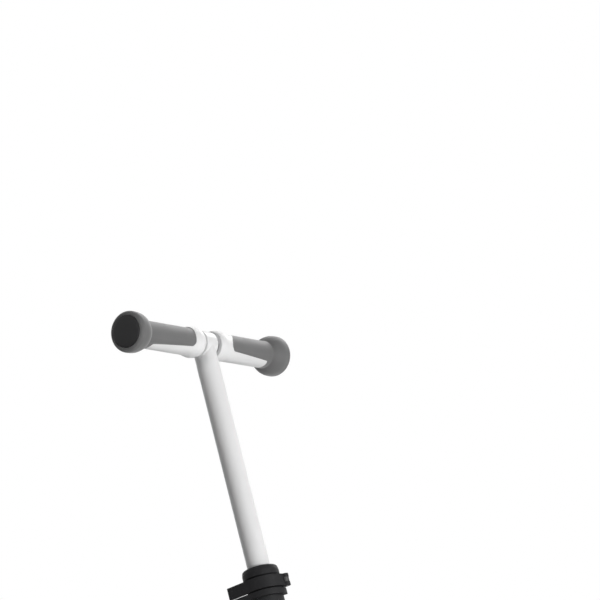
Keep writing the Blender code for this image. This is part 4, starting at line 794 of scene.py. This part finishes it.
def makeLever():
    c = clamp
    halfH = c["leverHeight"] / 2
    x0, y0 = leverSpot.x, leverSpot.y
    path = [(x0, y0)] + arc(c["sleeve"] + c["leverRoom"] + c["leverThick"] / 2, math.radians(-8),
                            math.radians(-100))
    path.append(c["tip"])
    path = [(x - x0, y - y0) for x, y in path]
    made = slab(ribbon(path, c["leverThick"]), -halfH, halfH)
    weld(made, rod(c["boss"], -halfH, halfH, None, 0, 48))
    room = c["eye"] / 2 + gap
    reach = c["bolt"] + 2 * gap
    cutBy(made, rod(c["boss"] + 0.0008, -room, room, None),
          block((-reach, 0, -room - 0.0002), (reach, 0.02, room + 0.0002)),
          rod(c["pin"] + gap, -0.02, 0.02, None, 0, 32))
    soften(made, 0.0008, 3, 35)
    made.data.transform(leverPlace)
    finishPiece(made, "clampLever", blackShell, "lever", ["clamp_lever"])


makeLowerTube()
makeRocker()
makeButton()
makeClamp()
makeLever()
print("stage: column made")


# Deck
deck = {
    "top": 0.060, "bottom": 0.036, "half": 0.056, "neck": 0.045, "lip": 0.0105,
    "edge": 0.003, "skin": 0.0035, "wall": 0.004, "rib": 0.0025, "ribPitch": 0.038, "floor": 0.042,
    "bulkIn": 0.0319, "bulkOut": 0.0419, "bulkHalf": 0.046, "coverBase": 0.078,
    "armIn": 0.015, "armOut": 0.024, "armRoot": 0.078, "wheelRoom": 0.005, "pinBoss": 0.009,
    "pinHole": 0.0043,
    "axleHole": 0.0043, "brakeHole": 0.0028, "nutRecess": 0.0076, "nutSink": 0.003,
}
matSize = {"inset": 0.009, "thick": 0.0018, "front": 0.012, "rear": 0.0825,
           "barLength": 0.013, "barWidth": 0.0034, "barHeight": 0.0009, "pitchX": 0.0105, "pitchY": 0.0170}
frontAxle = Vector(joints["left_wheel_spin"]["pos_m"])
kingpinSpot = Vector(joints["steer_left"]["pos_m"])
rearAxle = rearPlace.translation
brakeHinge = brakePlace.translation
knuckleHalf = 0.0095
# the nose's outline, which the floor, the cover's rim and its apron share
rim = {"middle": leanPoint.x + deck["lip"] / 2, "length": deck["bulkOut"] + deck["lip"] / 2,
       "width": kingpinSpot.y + 0.0105, "square": 3.2, "shoulder": 0.013, "apron": math.radians(45)}


def rimPoint(angle, inset=0.0):
    c, s = abs(math.cos(angle)), abs(math.sin(angle))
    reach = (c ** rim["square"] + s ** rim["square"]) ** (-1 / rim["square"])
    return (rim["middle"] + (rim["length"] - inset) * reach * math.cos(angle),
            (rim["width"] - inset) * reach * math.sin(angle))


def rimArc(first, last, count, inset=0.0):
    return [rimPoint(first + (last - first) * i / count, inset) for i in range(count + 1)]


def mirrored(half):
    # corners on the left side, front to back, become the whole outline
    return half + [(x, -y, *r) for x, y, *r in reversed(half)]


def deckCorners(inset, front, rear):
    half, neck, back = deck["half"] - inset, deck["neck"] - inset, leanPoint.x - deck["bulkOut"]
    return rounded(mirrored([(front, neck), (back - 0.015, neck, 0.060), (back - 0.075, half, 0.120),
                             (rear + 0.045, half, 0.030), (rear, deck["armOut"] + 0.002 - inset, 0.008)]))


def noseOutline():
    # round in front, and drawn in to the neck behind the wheels
    neck, back = deck["neck"], leanPoint.x - deck["bulkOut"]
    rear = [(kingpinSpot.x - knuckleHalf - rim["shoulder"], rim["width"], 0.020),
            (back - deck["wall"], neck, 0.030), (back - 0.030, neck - deck["wall"])]
    return rounded(rimArc(-math.pi / 2, math.pi / 2, 64) + rear + [(x, -y, *r) for x, y,
                                                                   *r in reversed(rear)])


def makePockets():
    d = deck
    front = leanPoint.x - d["bulkOut"] - d["wall"]
    rear = rearAxle.x + d["armRoot"]
    made = slab(deckCorners(d["wall"], front, rear), d["bottom"] - 0.01, d["top"] - d["skin"])
    count = int((front - rear) / d["ribPitch"])
    first = (front + rear - (count - 1) * d["ribPitch"]) / 2
    half = d["rib"] / 2
    ribs = [block((first + i * d["ribPitch"] - half, -0.1, 0), (first + i * d["ribPitch"] + half, 0.1, 0.1))
            for i in range(count)]
    ribs += [block((-0.3, y - half, 0), (0.3, y + half, 0.1)) for y in (-d["half"] / 2, 0, d["half"] / 2)]
    cutBy(made, *ribs)
    return soften(made, 0.0018, 3, 30)


def makeDeck():
    d = deck
    made = slab(deckCorners(0, leanPoint.x, rearAxle.x + 0.034), d["bottom"], d["top"], d["edge"], None, 5)
    cutBy(made, block((leanPoint.x - d["bulkIn"], -0.1, d["floor"]), (0.4, 0.1, 0.2)),
          rod(rearAxle.z + d["wheelRoom"], -d["armIn"], d["armIn"], rearPlace @ alongY, 0, 96))
    walls = [slab(noseOutline(), d["bottom"], d["floor"], 0.0013)]
    for sign, half in ((1, d["bulkHalf"]), (-1, d["neck"] - d["edge"])):
        near, far = sorted((sign * d["bulkIn"], sign * d["bulkOut"]))
        walls.append(block((leanPoint.x + near, -half, d["bottom"] + 0.001),
                           (leanPoint.x + far, half, d["coverBase"] - gap), None, 0.0010))
        walls.append(rod(d["pinBoss"], near, far, upright @ alongX, 0.0008, 64))
    for side in (1, -1):
        discs = [(rearAxle.x, rearAxle.z, 0.011), (brakeHinge.x, brakeHinge.z, 0.0075),
                 (rearAxle.x + d["armRoot"], d["top"] - 0.009, 0.008),
                 (rearAxle.x + d["armRoot"], d["bottom"] + 0.007, 0.006)]
        near, far = sorted((side * d["armIn"], side * d["armOut"]))
        walls.append(standing(hullOf(discs, 5), near, far, 0.0016, Matrix(), 4))
        near, far = sorted((side * (0.012 + gap), side * (d["armIn"] + 0.001)))
        walls.append(rod(0.007, near, far, rearPlace @ alongY, 0.0003))
    weld(made, *walls)
    holes = [makePockets(), rod(d["axleHole"], -0.05, 0.05, rearPlace @ alongY),
             rod(d["brakeHole"], -0.05, 0.05, brakePlace @ alongY),
             rod(d["pinHole"], -0.06, 0.06, upright @ alongX)]
    for side in (1, -1):
        spot = Matrix.Translation((kingpinSpot.x, side * kingpinSpot.y, 0))
        holes += [rod(d["axleHole"], 0.01, 0.06, spot),
                  rod(d["nutRecess"], 0.01, d["bottom"] + d["nutSink"], spot, 0, 64)]
    cutBy(made, *holes)
    soften(made, 0.0005, 2, 40)
    finishPiece(made, "deck", greyShell, "chassis", ["deck"])


def makeMat():
    m = matSize
    front = leanPoint.x - deck["bulkOut"] - m["front"]
    rear = rearAxle.x + m["rear"]
    low = deck["top"] + gap
    top = low + m["thick"] - m["barHeight"]
    outline = deckCorners(m["inset"], front, rear)
    made = slab(outline, low, top, 0.0003)
    # staggered tread bars wherever a whole bar fits inside the mat's edge
    bm = bmesh.new()
    row, x = 0, rear + 0.012
    while x < front - 0.008:
        y = -deck["half"] + (row % 2) * m["pitchY"] / 2
        while y < deck["half"]:
            if insideBy(outline, x, y, m["barLength"] / 2 + 0.003):
                addBar(bm, x, y, top)
            y += m["pitchY"]
        row, x = row + 1, x + m["pitchX"]
    weld(made, meshObject("bars", bm))
    finishPiece(made, "treadMat", matRubber, "chassis", ["grip_mat"])


def insideBy(outline, x, y, reach):
    # whether a bar across the deck, centred here, lies within the outline
    for dy in (-reach, reach):
        crossings = 0
        for (xa, ya), (xb, yb) in zip(outline, outline[1:] + outline[:1]):
            if (ya > y + dy) != (yb > y + dy) and x < xa + (y + dy - ya) * (xb - xa) / (yb - ya):
                crossings += 1
        if crossings % 2 == 0:
            return False
    return True


def addBar(bm, x, y, base):
    # one tread bar: a long low pill with a rounded top
    m = matSize
    rows = []
    for inset, z in ((0, base - 0.0004), (0, base + 0.0004), (0.0004, base + m["barHeight"]),
                     (0.0011, base + m["barHeight"])):
        w, l = m["barWidth"] / 2 - inset, m["barLength"] / 2 - m["barWidth"] / 2
        ring = []
        for k in range(16):
            a = math.tau * (k + 0.5) / 16
            ring.append(bm.verts.new((x + w * math.cos(a),
                                      y + math.copysign(l, math.sin(a)) + w * math.sin(a), z)))
        rows.append(ring)
    for lower, upper in zip(rows, rows[1:]):
        for k in range(16):
            j = (k + 1) % 16
            bm.faces.new((lower[k], lower[j], upper[j], upper[k]))
    bm.faces.new(rows[-1])
    bm.faces.new(rows[0][::-1])


makeDeck()
makeMat()
print("stage: deck made")


# Nose cover: a smooth squared dome with a collar round the rocker
nose = {
    "height": 0.022, "wall": 0.003, "crown": 2.5, "pinHeadRoom": 0.0068, "pinRoomLength": 0.0044,
    "rimAngle": math.radians(47), "rimPlay": 0.0008, "boss": 0.0086, "bossHeight": 0.0121,
    "pinHead": 0.006, "pinHeadHeight": 0.004, "pinShank": 0.004,
}


def squaredDome(inset, height, base, around=128, rows=40):
    # a dome whose rim, at its base, follows the nose's outline
    full = 2 / nose["crown"]
    low = math.asin((base / height) ** (1 / full))
    rings = [[(rim["middle"], 0, frontAxle.z + height)]]
    for i in range(1, rows + 1):
        lift = math.pi / 2 - (math.pi / 2 - low) * i / rows
        flat = (math.cos(lift) / math.cos(low)) ** full
        z = frontAxle.z + height * math.sin(lift) ** full
        spots = [rimPoint(math.tau * k / around, inset) for k in range(around)]
        rings.append([(rim["middle"] + flat * (x - rim["middle"]), flat * y, z) for x, y in spots])
    return loft("dome", rings)


def makeNoseCover():
    n = nose
    base = deck["coverBase"] - frontAxle.z
    height, wall = base + n["height"], n["wall"]
    made = squaredDome(0, height, base)
    r = column["dome"] + n["rimPlay"]
    rimUp, rimOut = r * math.cos(n["rimAngle"]), r * math.sin(n["rimAngle"])
    collar = lathe("collar", [(0, rimUp), (rimOut + 0.004, rimUp, 0.0016),
                              (rimOut + 0.0115, rimUp - 0.013, 0.002),
                              (rimOut + 0.013, 0.004), (0, 0.004)], stem, 128)
    cutBy(collar, block((-0.1, -0.2, 0), (0.4, 0.2, deck["coverBase"] + 0.0002)))
    bossTop = deck["coverBase"] + n["bossHeight"]
    spots = [Matrix.Translation((kingpinSpot.x, side * kingpinSpot.y, 0)) for side in (1, -1)]
    side = rim["apron"]
    band = rimArc(-side, side, 47, 0.0002) + rimArc(side, -side, 47, wall - 0.0003)
    weld(made, collar, slab(band, deck["floor"] + gap, deck["coverBase"] + 0.0005),
         *[rod(n["boss"], deck["coverBase"] + 0.0003, bossTop, spot, 0.0003, 48) for spot in spots])
    inside = squaredDome(wall, height - wall, base - 0.001, 96, 24)
    cutBy(inside, *[rod(n["boss"] - 0.0001, 0.05, bossTop, spot, 0, 40) for spot in spots])
    ball = [(r * math.sin(math.pi * i / 48), r * math.cos(math.pi * i / 48)) for i in range(49)]
    ball[0], ball[-1] = (0, r), (0, -r)
    tools = [inside, lathe("ball", ball, stem, 128),
             rod(deck["pinBoss"] + gap, deck["bulkIn"] - gap, deck["bulkOut"] + gap, upright @ alongX),
             rod(deck["pinBoss"] + gap, -deck["bulkOut"] - gap, -deck["bulkIn"] + gap, upright @ alongX),
             rod(n["pinHeadRoom"], deck["bulkOut"], deck["bulkOut"] + n["pinRoomLength"], upright @ alongX)]
    for spot in spots:
        tools += [rod(n["pinShank"] + gap, 0.05, 0.12, spot),
                  rod(n["pinHead"] + gap, bossTop - n["pinHeadHeight"] - 2 * gap, 0.12, spot, 0, 64)]
    cutBy(made, *tools)
    soften(made, 0.0007, 3, 20)
    finishPiece(made, "noseCover", whiteShell, "chassis", ["nose_cover"])
    for name, side in (("left", 1), ("right", -1)):
        place = Matrix.Translation((kingpinSpot.x, side * kingpinSpot.y, 0))
        low, high = sizeIn(f"kingpin_{name}", place)
        seat = bossTop - n["pinHeadHeight"] - gap
        pin = socketBolt(n["pinShank"], n["pinHead"], low.z, seat, high.z, 0.003, place)
        finishPiece(pin, f"kingpin.{name}", zincSteel, "chassis", [f"kingpin_{name}"])
        low, high = sizeIn(f"kingpin_nut_{name}", place)
        nut = hexNut(0.0068, low.z, high.z, n["pinShank"] + gap, place)
        finishPiece(nut, f"kingpinNut.{name}", zincSteel, "chassis", [f"kingpin_nut_{name}"])


def makeRockerPin():
    start = deck["bulkOut"] + gap
    pin = lathe("rockerPin", [(0, start + 0.0035), (0.0062, start + 0.0035, 0.0014), (0.0062, start, 0.0002),
                              (0.004, start), (0.004, -deck["bulkOut"] + 0.0005, 0.0005),
                              (0, -deck["bulkOut"] + 0.0005)],
                upright @ alongX, 64)
    finishPiece(pin, "rockerPin", zincSteel, "chassis", ["rocker_pin"])


def makeBuffers():
    for name in ("left", "right"):
        low, high = sizeIn(f"centring_buffer_{name}", Matrix())
        middle = (low + high) / 2
        r, height = (high.x - low.x) / 2, high.z - low.z
        made = lathe("buffer", [(0, height), (r, height, 0.0012), (r, height * 0.60, 0.0012),
                                (r - 0.0016, height * 0.5, 0.0012), (r, height * 0.40, 0.0012),
                                (r, 0, 0.0012), (0, 0)],
                     Matrix.Translation((middle.x, middle.y, low.z)), 64)
        finishPiece(made, f"centringBuffer.{name}", bufferRubber, "chassis", [f"centring_buffer_{name}"])


makeNoseCover()
makeRockerPin()
makeBuffers()
print("stage: nose made")


# Steering under the cover
knuckle = {"barrel": knuckleHalf, "inset": 0.046, "arm": 0.022, "armThick": 0.004, "pin": 0.003,
           "trail": 0.006, "bush": 0.0066, "axle": 0.004, "axleHead": 0.007, "axleHeadHeight": 0.0045}
wheelHalf = 0.012


def outward(spot, side):
    return Matrix.Translation(spot) @ Matrix.Rotation(-side * math.pi / 2, 4, "X")


def makeKnuckle(side, name):
    k = knuckle
    spot = Vector((kingpinSpot.x, side * kingpinSpot.y, 0))
    axis = Matrix.Translation(spot)
    line = outward((spot.x - k["trail"], spot.y, frontAxle.z), side)
    reach = k["inset"] - wheelHalf - gap
    made = rod(k["barrel"], deck["floor"] + gap, deck["coverBase"] - gap, axis, 0.0005, 96)
    spindle = lathe("spindle", [(0, reach), (k["axle"] + 0.002, reach, 0.0003),
                                (k["axle"] + 0.003, reach - 0.003, 0.002),
                                (k["barrel"] - 0.0008, k["barrel"] + 0.001, 0.004),
                                (k["barrel"] - 0.0008, 0.001), (0, 0.001)],
                    line, 72)
    armLow = deck["floor"] + 2 * gap
    arm = slab(hullOf([(0, 0, k["barrel"] - 0.001), (-k["arm"], 0, k["pin"] + 0.002)], 5), armLow,
               armLow + k["armThick"],
               0.0007, axis)
    tieTop = sizeIn("tie_rod", Matrix())[1].z
    pin = rod(k["pin"], armLow + 0.001, tieTop + 0.001, axis @ Matrix.Translation((-k["arm"], 0, 0)), 0.0004,
              48)
    weld(made, spindle, arm, pin)
    soften(made, 0.0006, 2, 35)
    cutBy(made, rod(k["bush"], 0, 0.1, axis, 0, 72), rod(k["axle"] + gap, k["barrel"] - 0.002, 0.05, line))
    finishPiece(made, f"knuckle.{name}", blackShell, f"steering_{name}", [f"knuckle_{name}"])
    seat = k["inset"] + wheelHalf + gap
    axle = socketBolt(k["axle"], k["axleHead"], k["barrel"] + 0.0015, seat, seat + k["axleHeadHeight"], 0.003,
                      line, 0.0018,
                      k["axleHeadHeight"] - 0.002)
    finishPiece(axle, f"frontAxle.{name}", zincSteel, f"steering_{name}", [f"front_axle_{name}"])


def makeTieRod():
    k = knuckle
    low, high = sizeIn("tie_rod", Matrix())
    spot = Matrix.Translation(((low.x + high.x) / 2, 0, 0))
    y = kingpinSpot.y
    made = slab(hullOf([(0, y, 0.005), (0, -y, 0.005)], 5), low.z, high.z, 0.0006, spot)
    weld(made, rod(0.0081, low.z, high.z, spot, 0.0006, 72))
    slot = hullOf([(-0.0002, 0, k["pin"] + 0.0004), (0.0009, 0, k["pin"] + 0.0004)])
    cutBy(made, rod(0.0051, 0, 0.1, spot, 0, 64),
          *[slab(slot, 0, 0.1, 0, spot @ Matrix.Translation((0, side * y, 0))) for side in (1, -1)])
    finishPiece(made, "tieRod", zincSteel, "track_rod", ["tie_rod"])


for name, side in (("left", 1), ("right", -1)):
    makeKnuckle(side, name)
makeTieRod()
print("stage: steering made")


# Wheels: a cast tyre on a hub with five windows, two sealed bearings and a spacer
wheelSizes = {
    "front": {"radius": 0.060, "tyre": 0.016},
    "rear": {"radius": 0.040, "tyre": 0.011},
}
hubSize = {"barrel": 0.0135, "web": 0.004, "rim": 0.004, "windows": 5, "spoke": 0.0062, "margin": 0.002,
           "edge": 0.0024, "seat": 0.0113, "bearing": 0.011, "bearingWidth": 0.007, "bore": 0.0043}


def hubWindow(inner, outer):
    h = hubSize
    wide, narrow = (math.pi / h["windows"] - h["spoke"] / 2 / r for r in (outer, inner))
    free = wide - 1.5 * h["edge"] / outer
    corners = [(outer * math.cos(a), outer * math.sin(a), h["edge"] if abs(a) == wide else 0)
               for a in [-wide, *[free * (i / 5 - 1) for i in range(11)], wide]]
    corners += [(inner * math.cos(a), inner * math.sin(a), h["edge"]) for a in (narrow, -narrow)]
    return rounded(corners)


def makeWheel(line, kind, body, tyreName, hubName, bearings, tags):
    h, size = hubSize, wheelSizes[kind]
    r, t, half = size["radius"], size["tyre"], wheelHalf
    rim = r - t
    crown = []
    for i in range(25):
        a = math.pi * i / 24
        side = math.cos(a)
        crown.append((rim + (t * math.sin(a) ** 0.55 if 0 < i < 24 else 0),
                      half * 0.97 * math.copysign(abs(side) ** 0.62, side)))
    crown = [(rad, level) for rad, level in crown if rad > rim + 0.0006]
    groove = [(rim, half * 0.82), (rim + 0.0010, half * 0.90, 0.0004)]
    profile = groove + crown + [(rim + 0.0010, -half * 0.90, 0.0004), (rim, -half * 0.82)]
    tyre = lathe("tyre", profile, line, 160)
    finishPiece(tyre, f"tyre.{tags}", castTyre, body, [tyreName])

    seat, barrel, rimHalf, web = h["seat"], h["barrel"], half * 0.8, h["web"]
    rimIn, floor = rim - gap - h["rim"], half - h["bearingWidth"] - gap
    hub = lathe("hub", [
        (seat, half), (barrel, half, 0.0005), (barrel + 0.001, web, 0.0016), (rimIn - 0.001, web, 0.0016),
        (rimIn, rimHalf, 0.0006), (rim - gap, rimHalf, 0.0004), (rim - gap, -rimHalf, 0.0004),
        (rimIn, -rimHalf, 0.0006),
        (rimIn - 0.001, -web, 0.0016), (barrel + 0.001, -web, 0.0016), (barrel, -half, 0.0005), (seat, -half),
        (seat, -floor), (seat - 0.0025, -floor), (seat - 0.0025, floor), (seat, floor)], line, 120)
    window = hubWindow(barrel + h["margin"], rimIn - h["margin"])
    turns = [Matrix.Rotation(math.tau * (i + 0.5) / h["windows"], 4, "Z") for i in range(h["windows"])]
    cutBy(hub, *[slab(window, -half - 0.001, half + 0.001, 0, line @ turn) for turn in turns])
    soften(hub, 0.0007, 3, 50)
    finishPiece(hub, f"hub.{tags}", whiteShell, body, [hubName])

    for node, sign in zip(bearings, (1, -1)):
        face, back = sign * half, sign * (half - h["bearingWidth"])
        dip = sign * 0.0005
        out, bore = h["bearing"], h["bore"]
        outer, inner = out - 0.0021, bore + 0.0020
        points = [(bore, face - dip / 4), (inner, face, 0.0002), (inner, face - dip), (outer, face - dip),
                  (outer, face, 0.0002), (out, face, 0.0003), (out, back, 0.0003), (outer, back, 0.0002),
                  (outer, back + dip), (inner, back + dip), (inner, back, 0.0002), (bore, back)]
        if sign < 0:
            points = points[::-1]
        ring = lathe("bearing", points, line, 72)
        finishPiece(ring, f"bearing.{node}", zincSteel, body, [node])
        ring.data.materials.append(sealRubber)
        toLine = line.inverted()
        for polygon in ring.data.polygons:
            spot = toLine @ polygon.center
            if inner < math.hypot(spot.x, spot.y) < outer:
                polygon.material_index = 1


for name, side in (("left", 1), ("right", -1)):
    makeWheel(outward((frontAxle.x, side * frontAxle.y, frontAxle.z), side), "front", f"wheel_{name}",
              f"front_tyre_{name}", f"front_hub_{name}", (f"outer_bearing_{name}", f"inner_bearing_{name}"),
              name)
makeWheel(rearPlace @ alongY, "rear", "wheel_rear", "rear_tyre", "rear_hub",
          ("rear_bearing_left", "rear_bearing_right"), "rear")


def makeRearAxle():
    line = rearPlace @ alongY
    seat = deck["armOut"] + gap
    low, high = sizeIn("rear_axle", line)
    axle = socketBolt(0.004, 0.007, low.z, seat, high.z, 0.003, line, 0.0018, 0.0025)
    finishPiece(axle, "rearAxle", zincSteel, "chassis", ["rear_axle"])
    low, high = sizeIn("rear_axle_nut", line)
    nut = hexNut(0.0072, low.z, high.z, 0.0043, line)
    finishPiece(nut, "rearAxleNut", zincSteel, "chassis", ["rear_axle_nut"])


makeRearAxle()
print("stage: wheels made")


# Brake: a sprung fender over the rear wheel
brake = {
    "room": 0.0075, "thick": 0.0035, "half": 0.021, "lip": 0.002, "crown": 0.0012,
    "front": math.radians(50), "back": math.radians(148), "lap": math.radians(3.2),
    "tail": 0.0578, "lift": 0.030, "barrel": 0.0065, "pin": 0.0025,
    "padAngle": math.radians(102), "padSpread": math.radians(11), "padThick": 0.003, "padHalf": 0.011,
    "tailCorner": 0.009,
    "wire": 0.0013, "turns": 3, "turnGap": 0.0005, "leg": 0.009,
}


def onWheel(angle, radius):
    return rearAxle.x + radius * math.cos(angle), rearAxle.z + radius * math.sin(angle)


def sector(inner, outer, first, last, half, edge=0.0):
    angles = [first + (last - first) * i / 40 for i in range(41)]
    points = [onWheel(a, outer) for a in angles] + [onWheel(a, inner) for a in reversed(angles)]
    return standing(points, -half, half, edge)


def makeFender():
    b = brake
    inner = rearAxle.z + b["room"]
    outer, half, lipIn, thin = inner + b["thick"], b["half"], inner - b["lip"], b["thick"] / 2
    ring = lathe("fender", [(outer, half, 0.0012), (outer + b["crown"], half * 0.5, 0.010),
                            (outer + b["crown"], -half * 0.5, 0.010),
                            (outer, -half, 0.0012), (lipIn, -half, 0.0006), (lipIn, -half + 0.0025, 0.0006),
                            (inner, -half + 0.003, 0.0010), (inner, half - 0.003, 0.0010),
                            (lipIn, half - 0.0025, 0.0006), (lipIn, half, 0.0006)], rearPlace @ alongY, 200)
    carve(ring, [sector(lipIn - 0.01, outer + 0.03, b["front"], b["back"], 0.03)], "INTERSECT")
    front = onWheel(b["front"] + b["lap"], inner + thin)
    back = onWheel(b["back"] - b["lap"], inner + thin)
    tail = standing(hullOf([(*back, thin), (rearAxle.x - b["tail"] + thin, rearAxle.z + b["lift"], thin)], 6),
                    -half + 0.003, half - 0.003, 0.0012)
    end, side = rearAxle.x - b["tail"], half - 0.003
    plan = rounded([(back[0] + 0.01, -half), (back[0] + 0.01, half), (back[0], side),
                    (end, side, b["tailCorner"]),
                    (end, -side, b["tailCorner"]), (back[0], -side)])
    carve(tail, [slab(plan, 0, 0.1)], "INTERSECT")
    neck = standing(hullOf([(*front, thin), (brakeHinge.x, brakeHinge.z, b["barrel"])], 6),
                    -deck["armIn"] + gap, deck["armIn"] - gap, 0.0008)
    weld(ring, tail, neck)
    soften(ring, 0.0008, 3, 30)
    springLow = sizeIn("brake_spring", Matrix())[0].y
    line = brakePlace @ alongY
    cutBy(ring, rod(b["pin"] + gap, -0.05, 0.05, line),
          rod(b["barrel"] + 0.0012, springLow - gap, deck["armIn"], line, 0, 64))
    finishPiece(ring, "brakeFender", blackShell, "brake", ["brake_fender"])
    padOut = inner - gap
    ends = (b["padAngle"] - b["padSpread"], b["padAngle"] + b["padSpread"])
    flat = (padOut - b["padThick"]) / math.cos(b["padSpread"])
    outline = [onWheel(ends[0] + (ends[1] - ends[0]) * i / 12, padOut) for i in range(13)]
    pad = standing(outline + [onWheel(a, flat) for a in reversed(ends)], -b["padHalf"], b["padHalf"], 0.0005)
    finishPiece(pad, "brakePad", zincSteel, "brake", ["brake_pad"])
    reach = deck["armOut"] + 2 * gap
    pin = rod(b["pin"], -reach, reach, line, 0.0005, 48)
    finishPiece(pin, "brakePin", zincSteel, "chassis", ["brake_pin"])


def neckSide(reach):
    # a point under the fender's neck, seen from the hinge, where the spring's leg lies
    b = brake
    thin = b["thick"] / 2
    x, z = onWheel(b["front"] + b["lap"], rearAxle.z + b["room"] + thin)
    dx, dz = x - brakeHinge.x, z - brakeHinge.z
    length = math.hypot(dx, dz)
    dx, dz = dx / length, dz / length
    drop = b["barrel"] + (thin - b["barrel"]) * reach / length + gap + b["wire"] / 2
    return dx * reach - dz * drop, dz * reach + dx * drop


def makeSpring():
    b = brake
    wire, pitch = b["wire"], b["wire"] + b["turnGap"]
    radius = b["pin"] + wire / 2 + 2 * gap
    start = sizeIn("brake_spring", Matrix())[0].y + wire / 2
    points = [(radius + b["leg"], start, deck["top"] + gap + wire / 2 - brakeHinge.z)]
    for i in range(b["turns"] * 32 + 1):
        a = -math.pi / 2 + math.tau * i / 32
        points.append((radius * math.cos(a), start + pitch * i / 32, radius * math.sin(a)))
    for reach in (0, b["leg"]):
        along, off = neckSide(reach)
        points.append((along, start + pitch * b["turns"], off))
    made = wireAlong(points, wire / 2, brakePlace)
    finishPiece(made, "brakeSpring", springSteel, "chassis", ["brake_spring"])


makeFender()
makeSpring()
print("stage: brake made")


# Inner pieces keep their solids and get their finish
kept = {
    "tube_plug": capShell, "cross_bar": zincSteel, "clamp_bolt": blackSteel, "cam_saddle": nylonBush,
    "button_spring": springSteel, "rocker_bush_front": nylonBush, "rocker_bush_rear": nylonBush,
    "kingpin_bush_left": nylonBush, "kingpin_bush_right": nylonBush, "bearing_spacer_left": zincSteel,
    "bearing_spacer_right": zincSteel, "rear_spacer": zincSteel,
}
for node, finish in kept.items():
    slots = frame["nodes"][node].material_slots
    for spot in slots:
        spot.material = finish
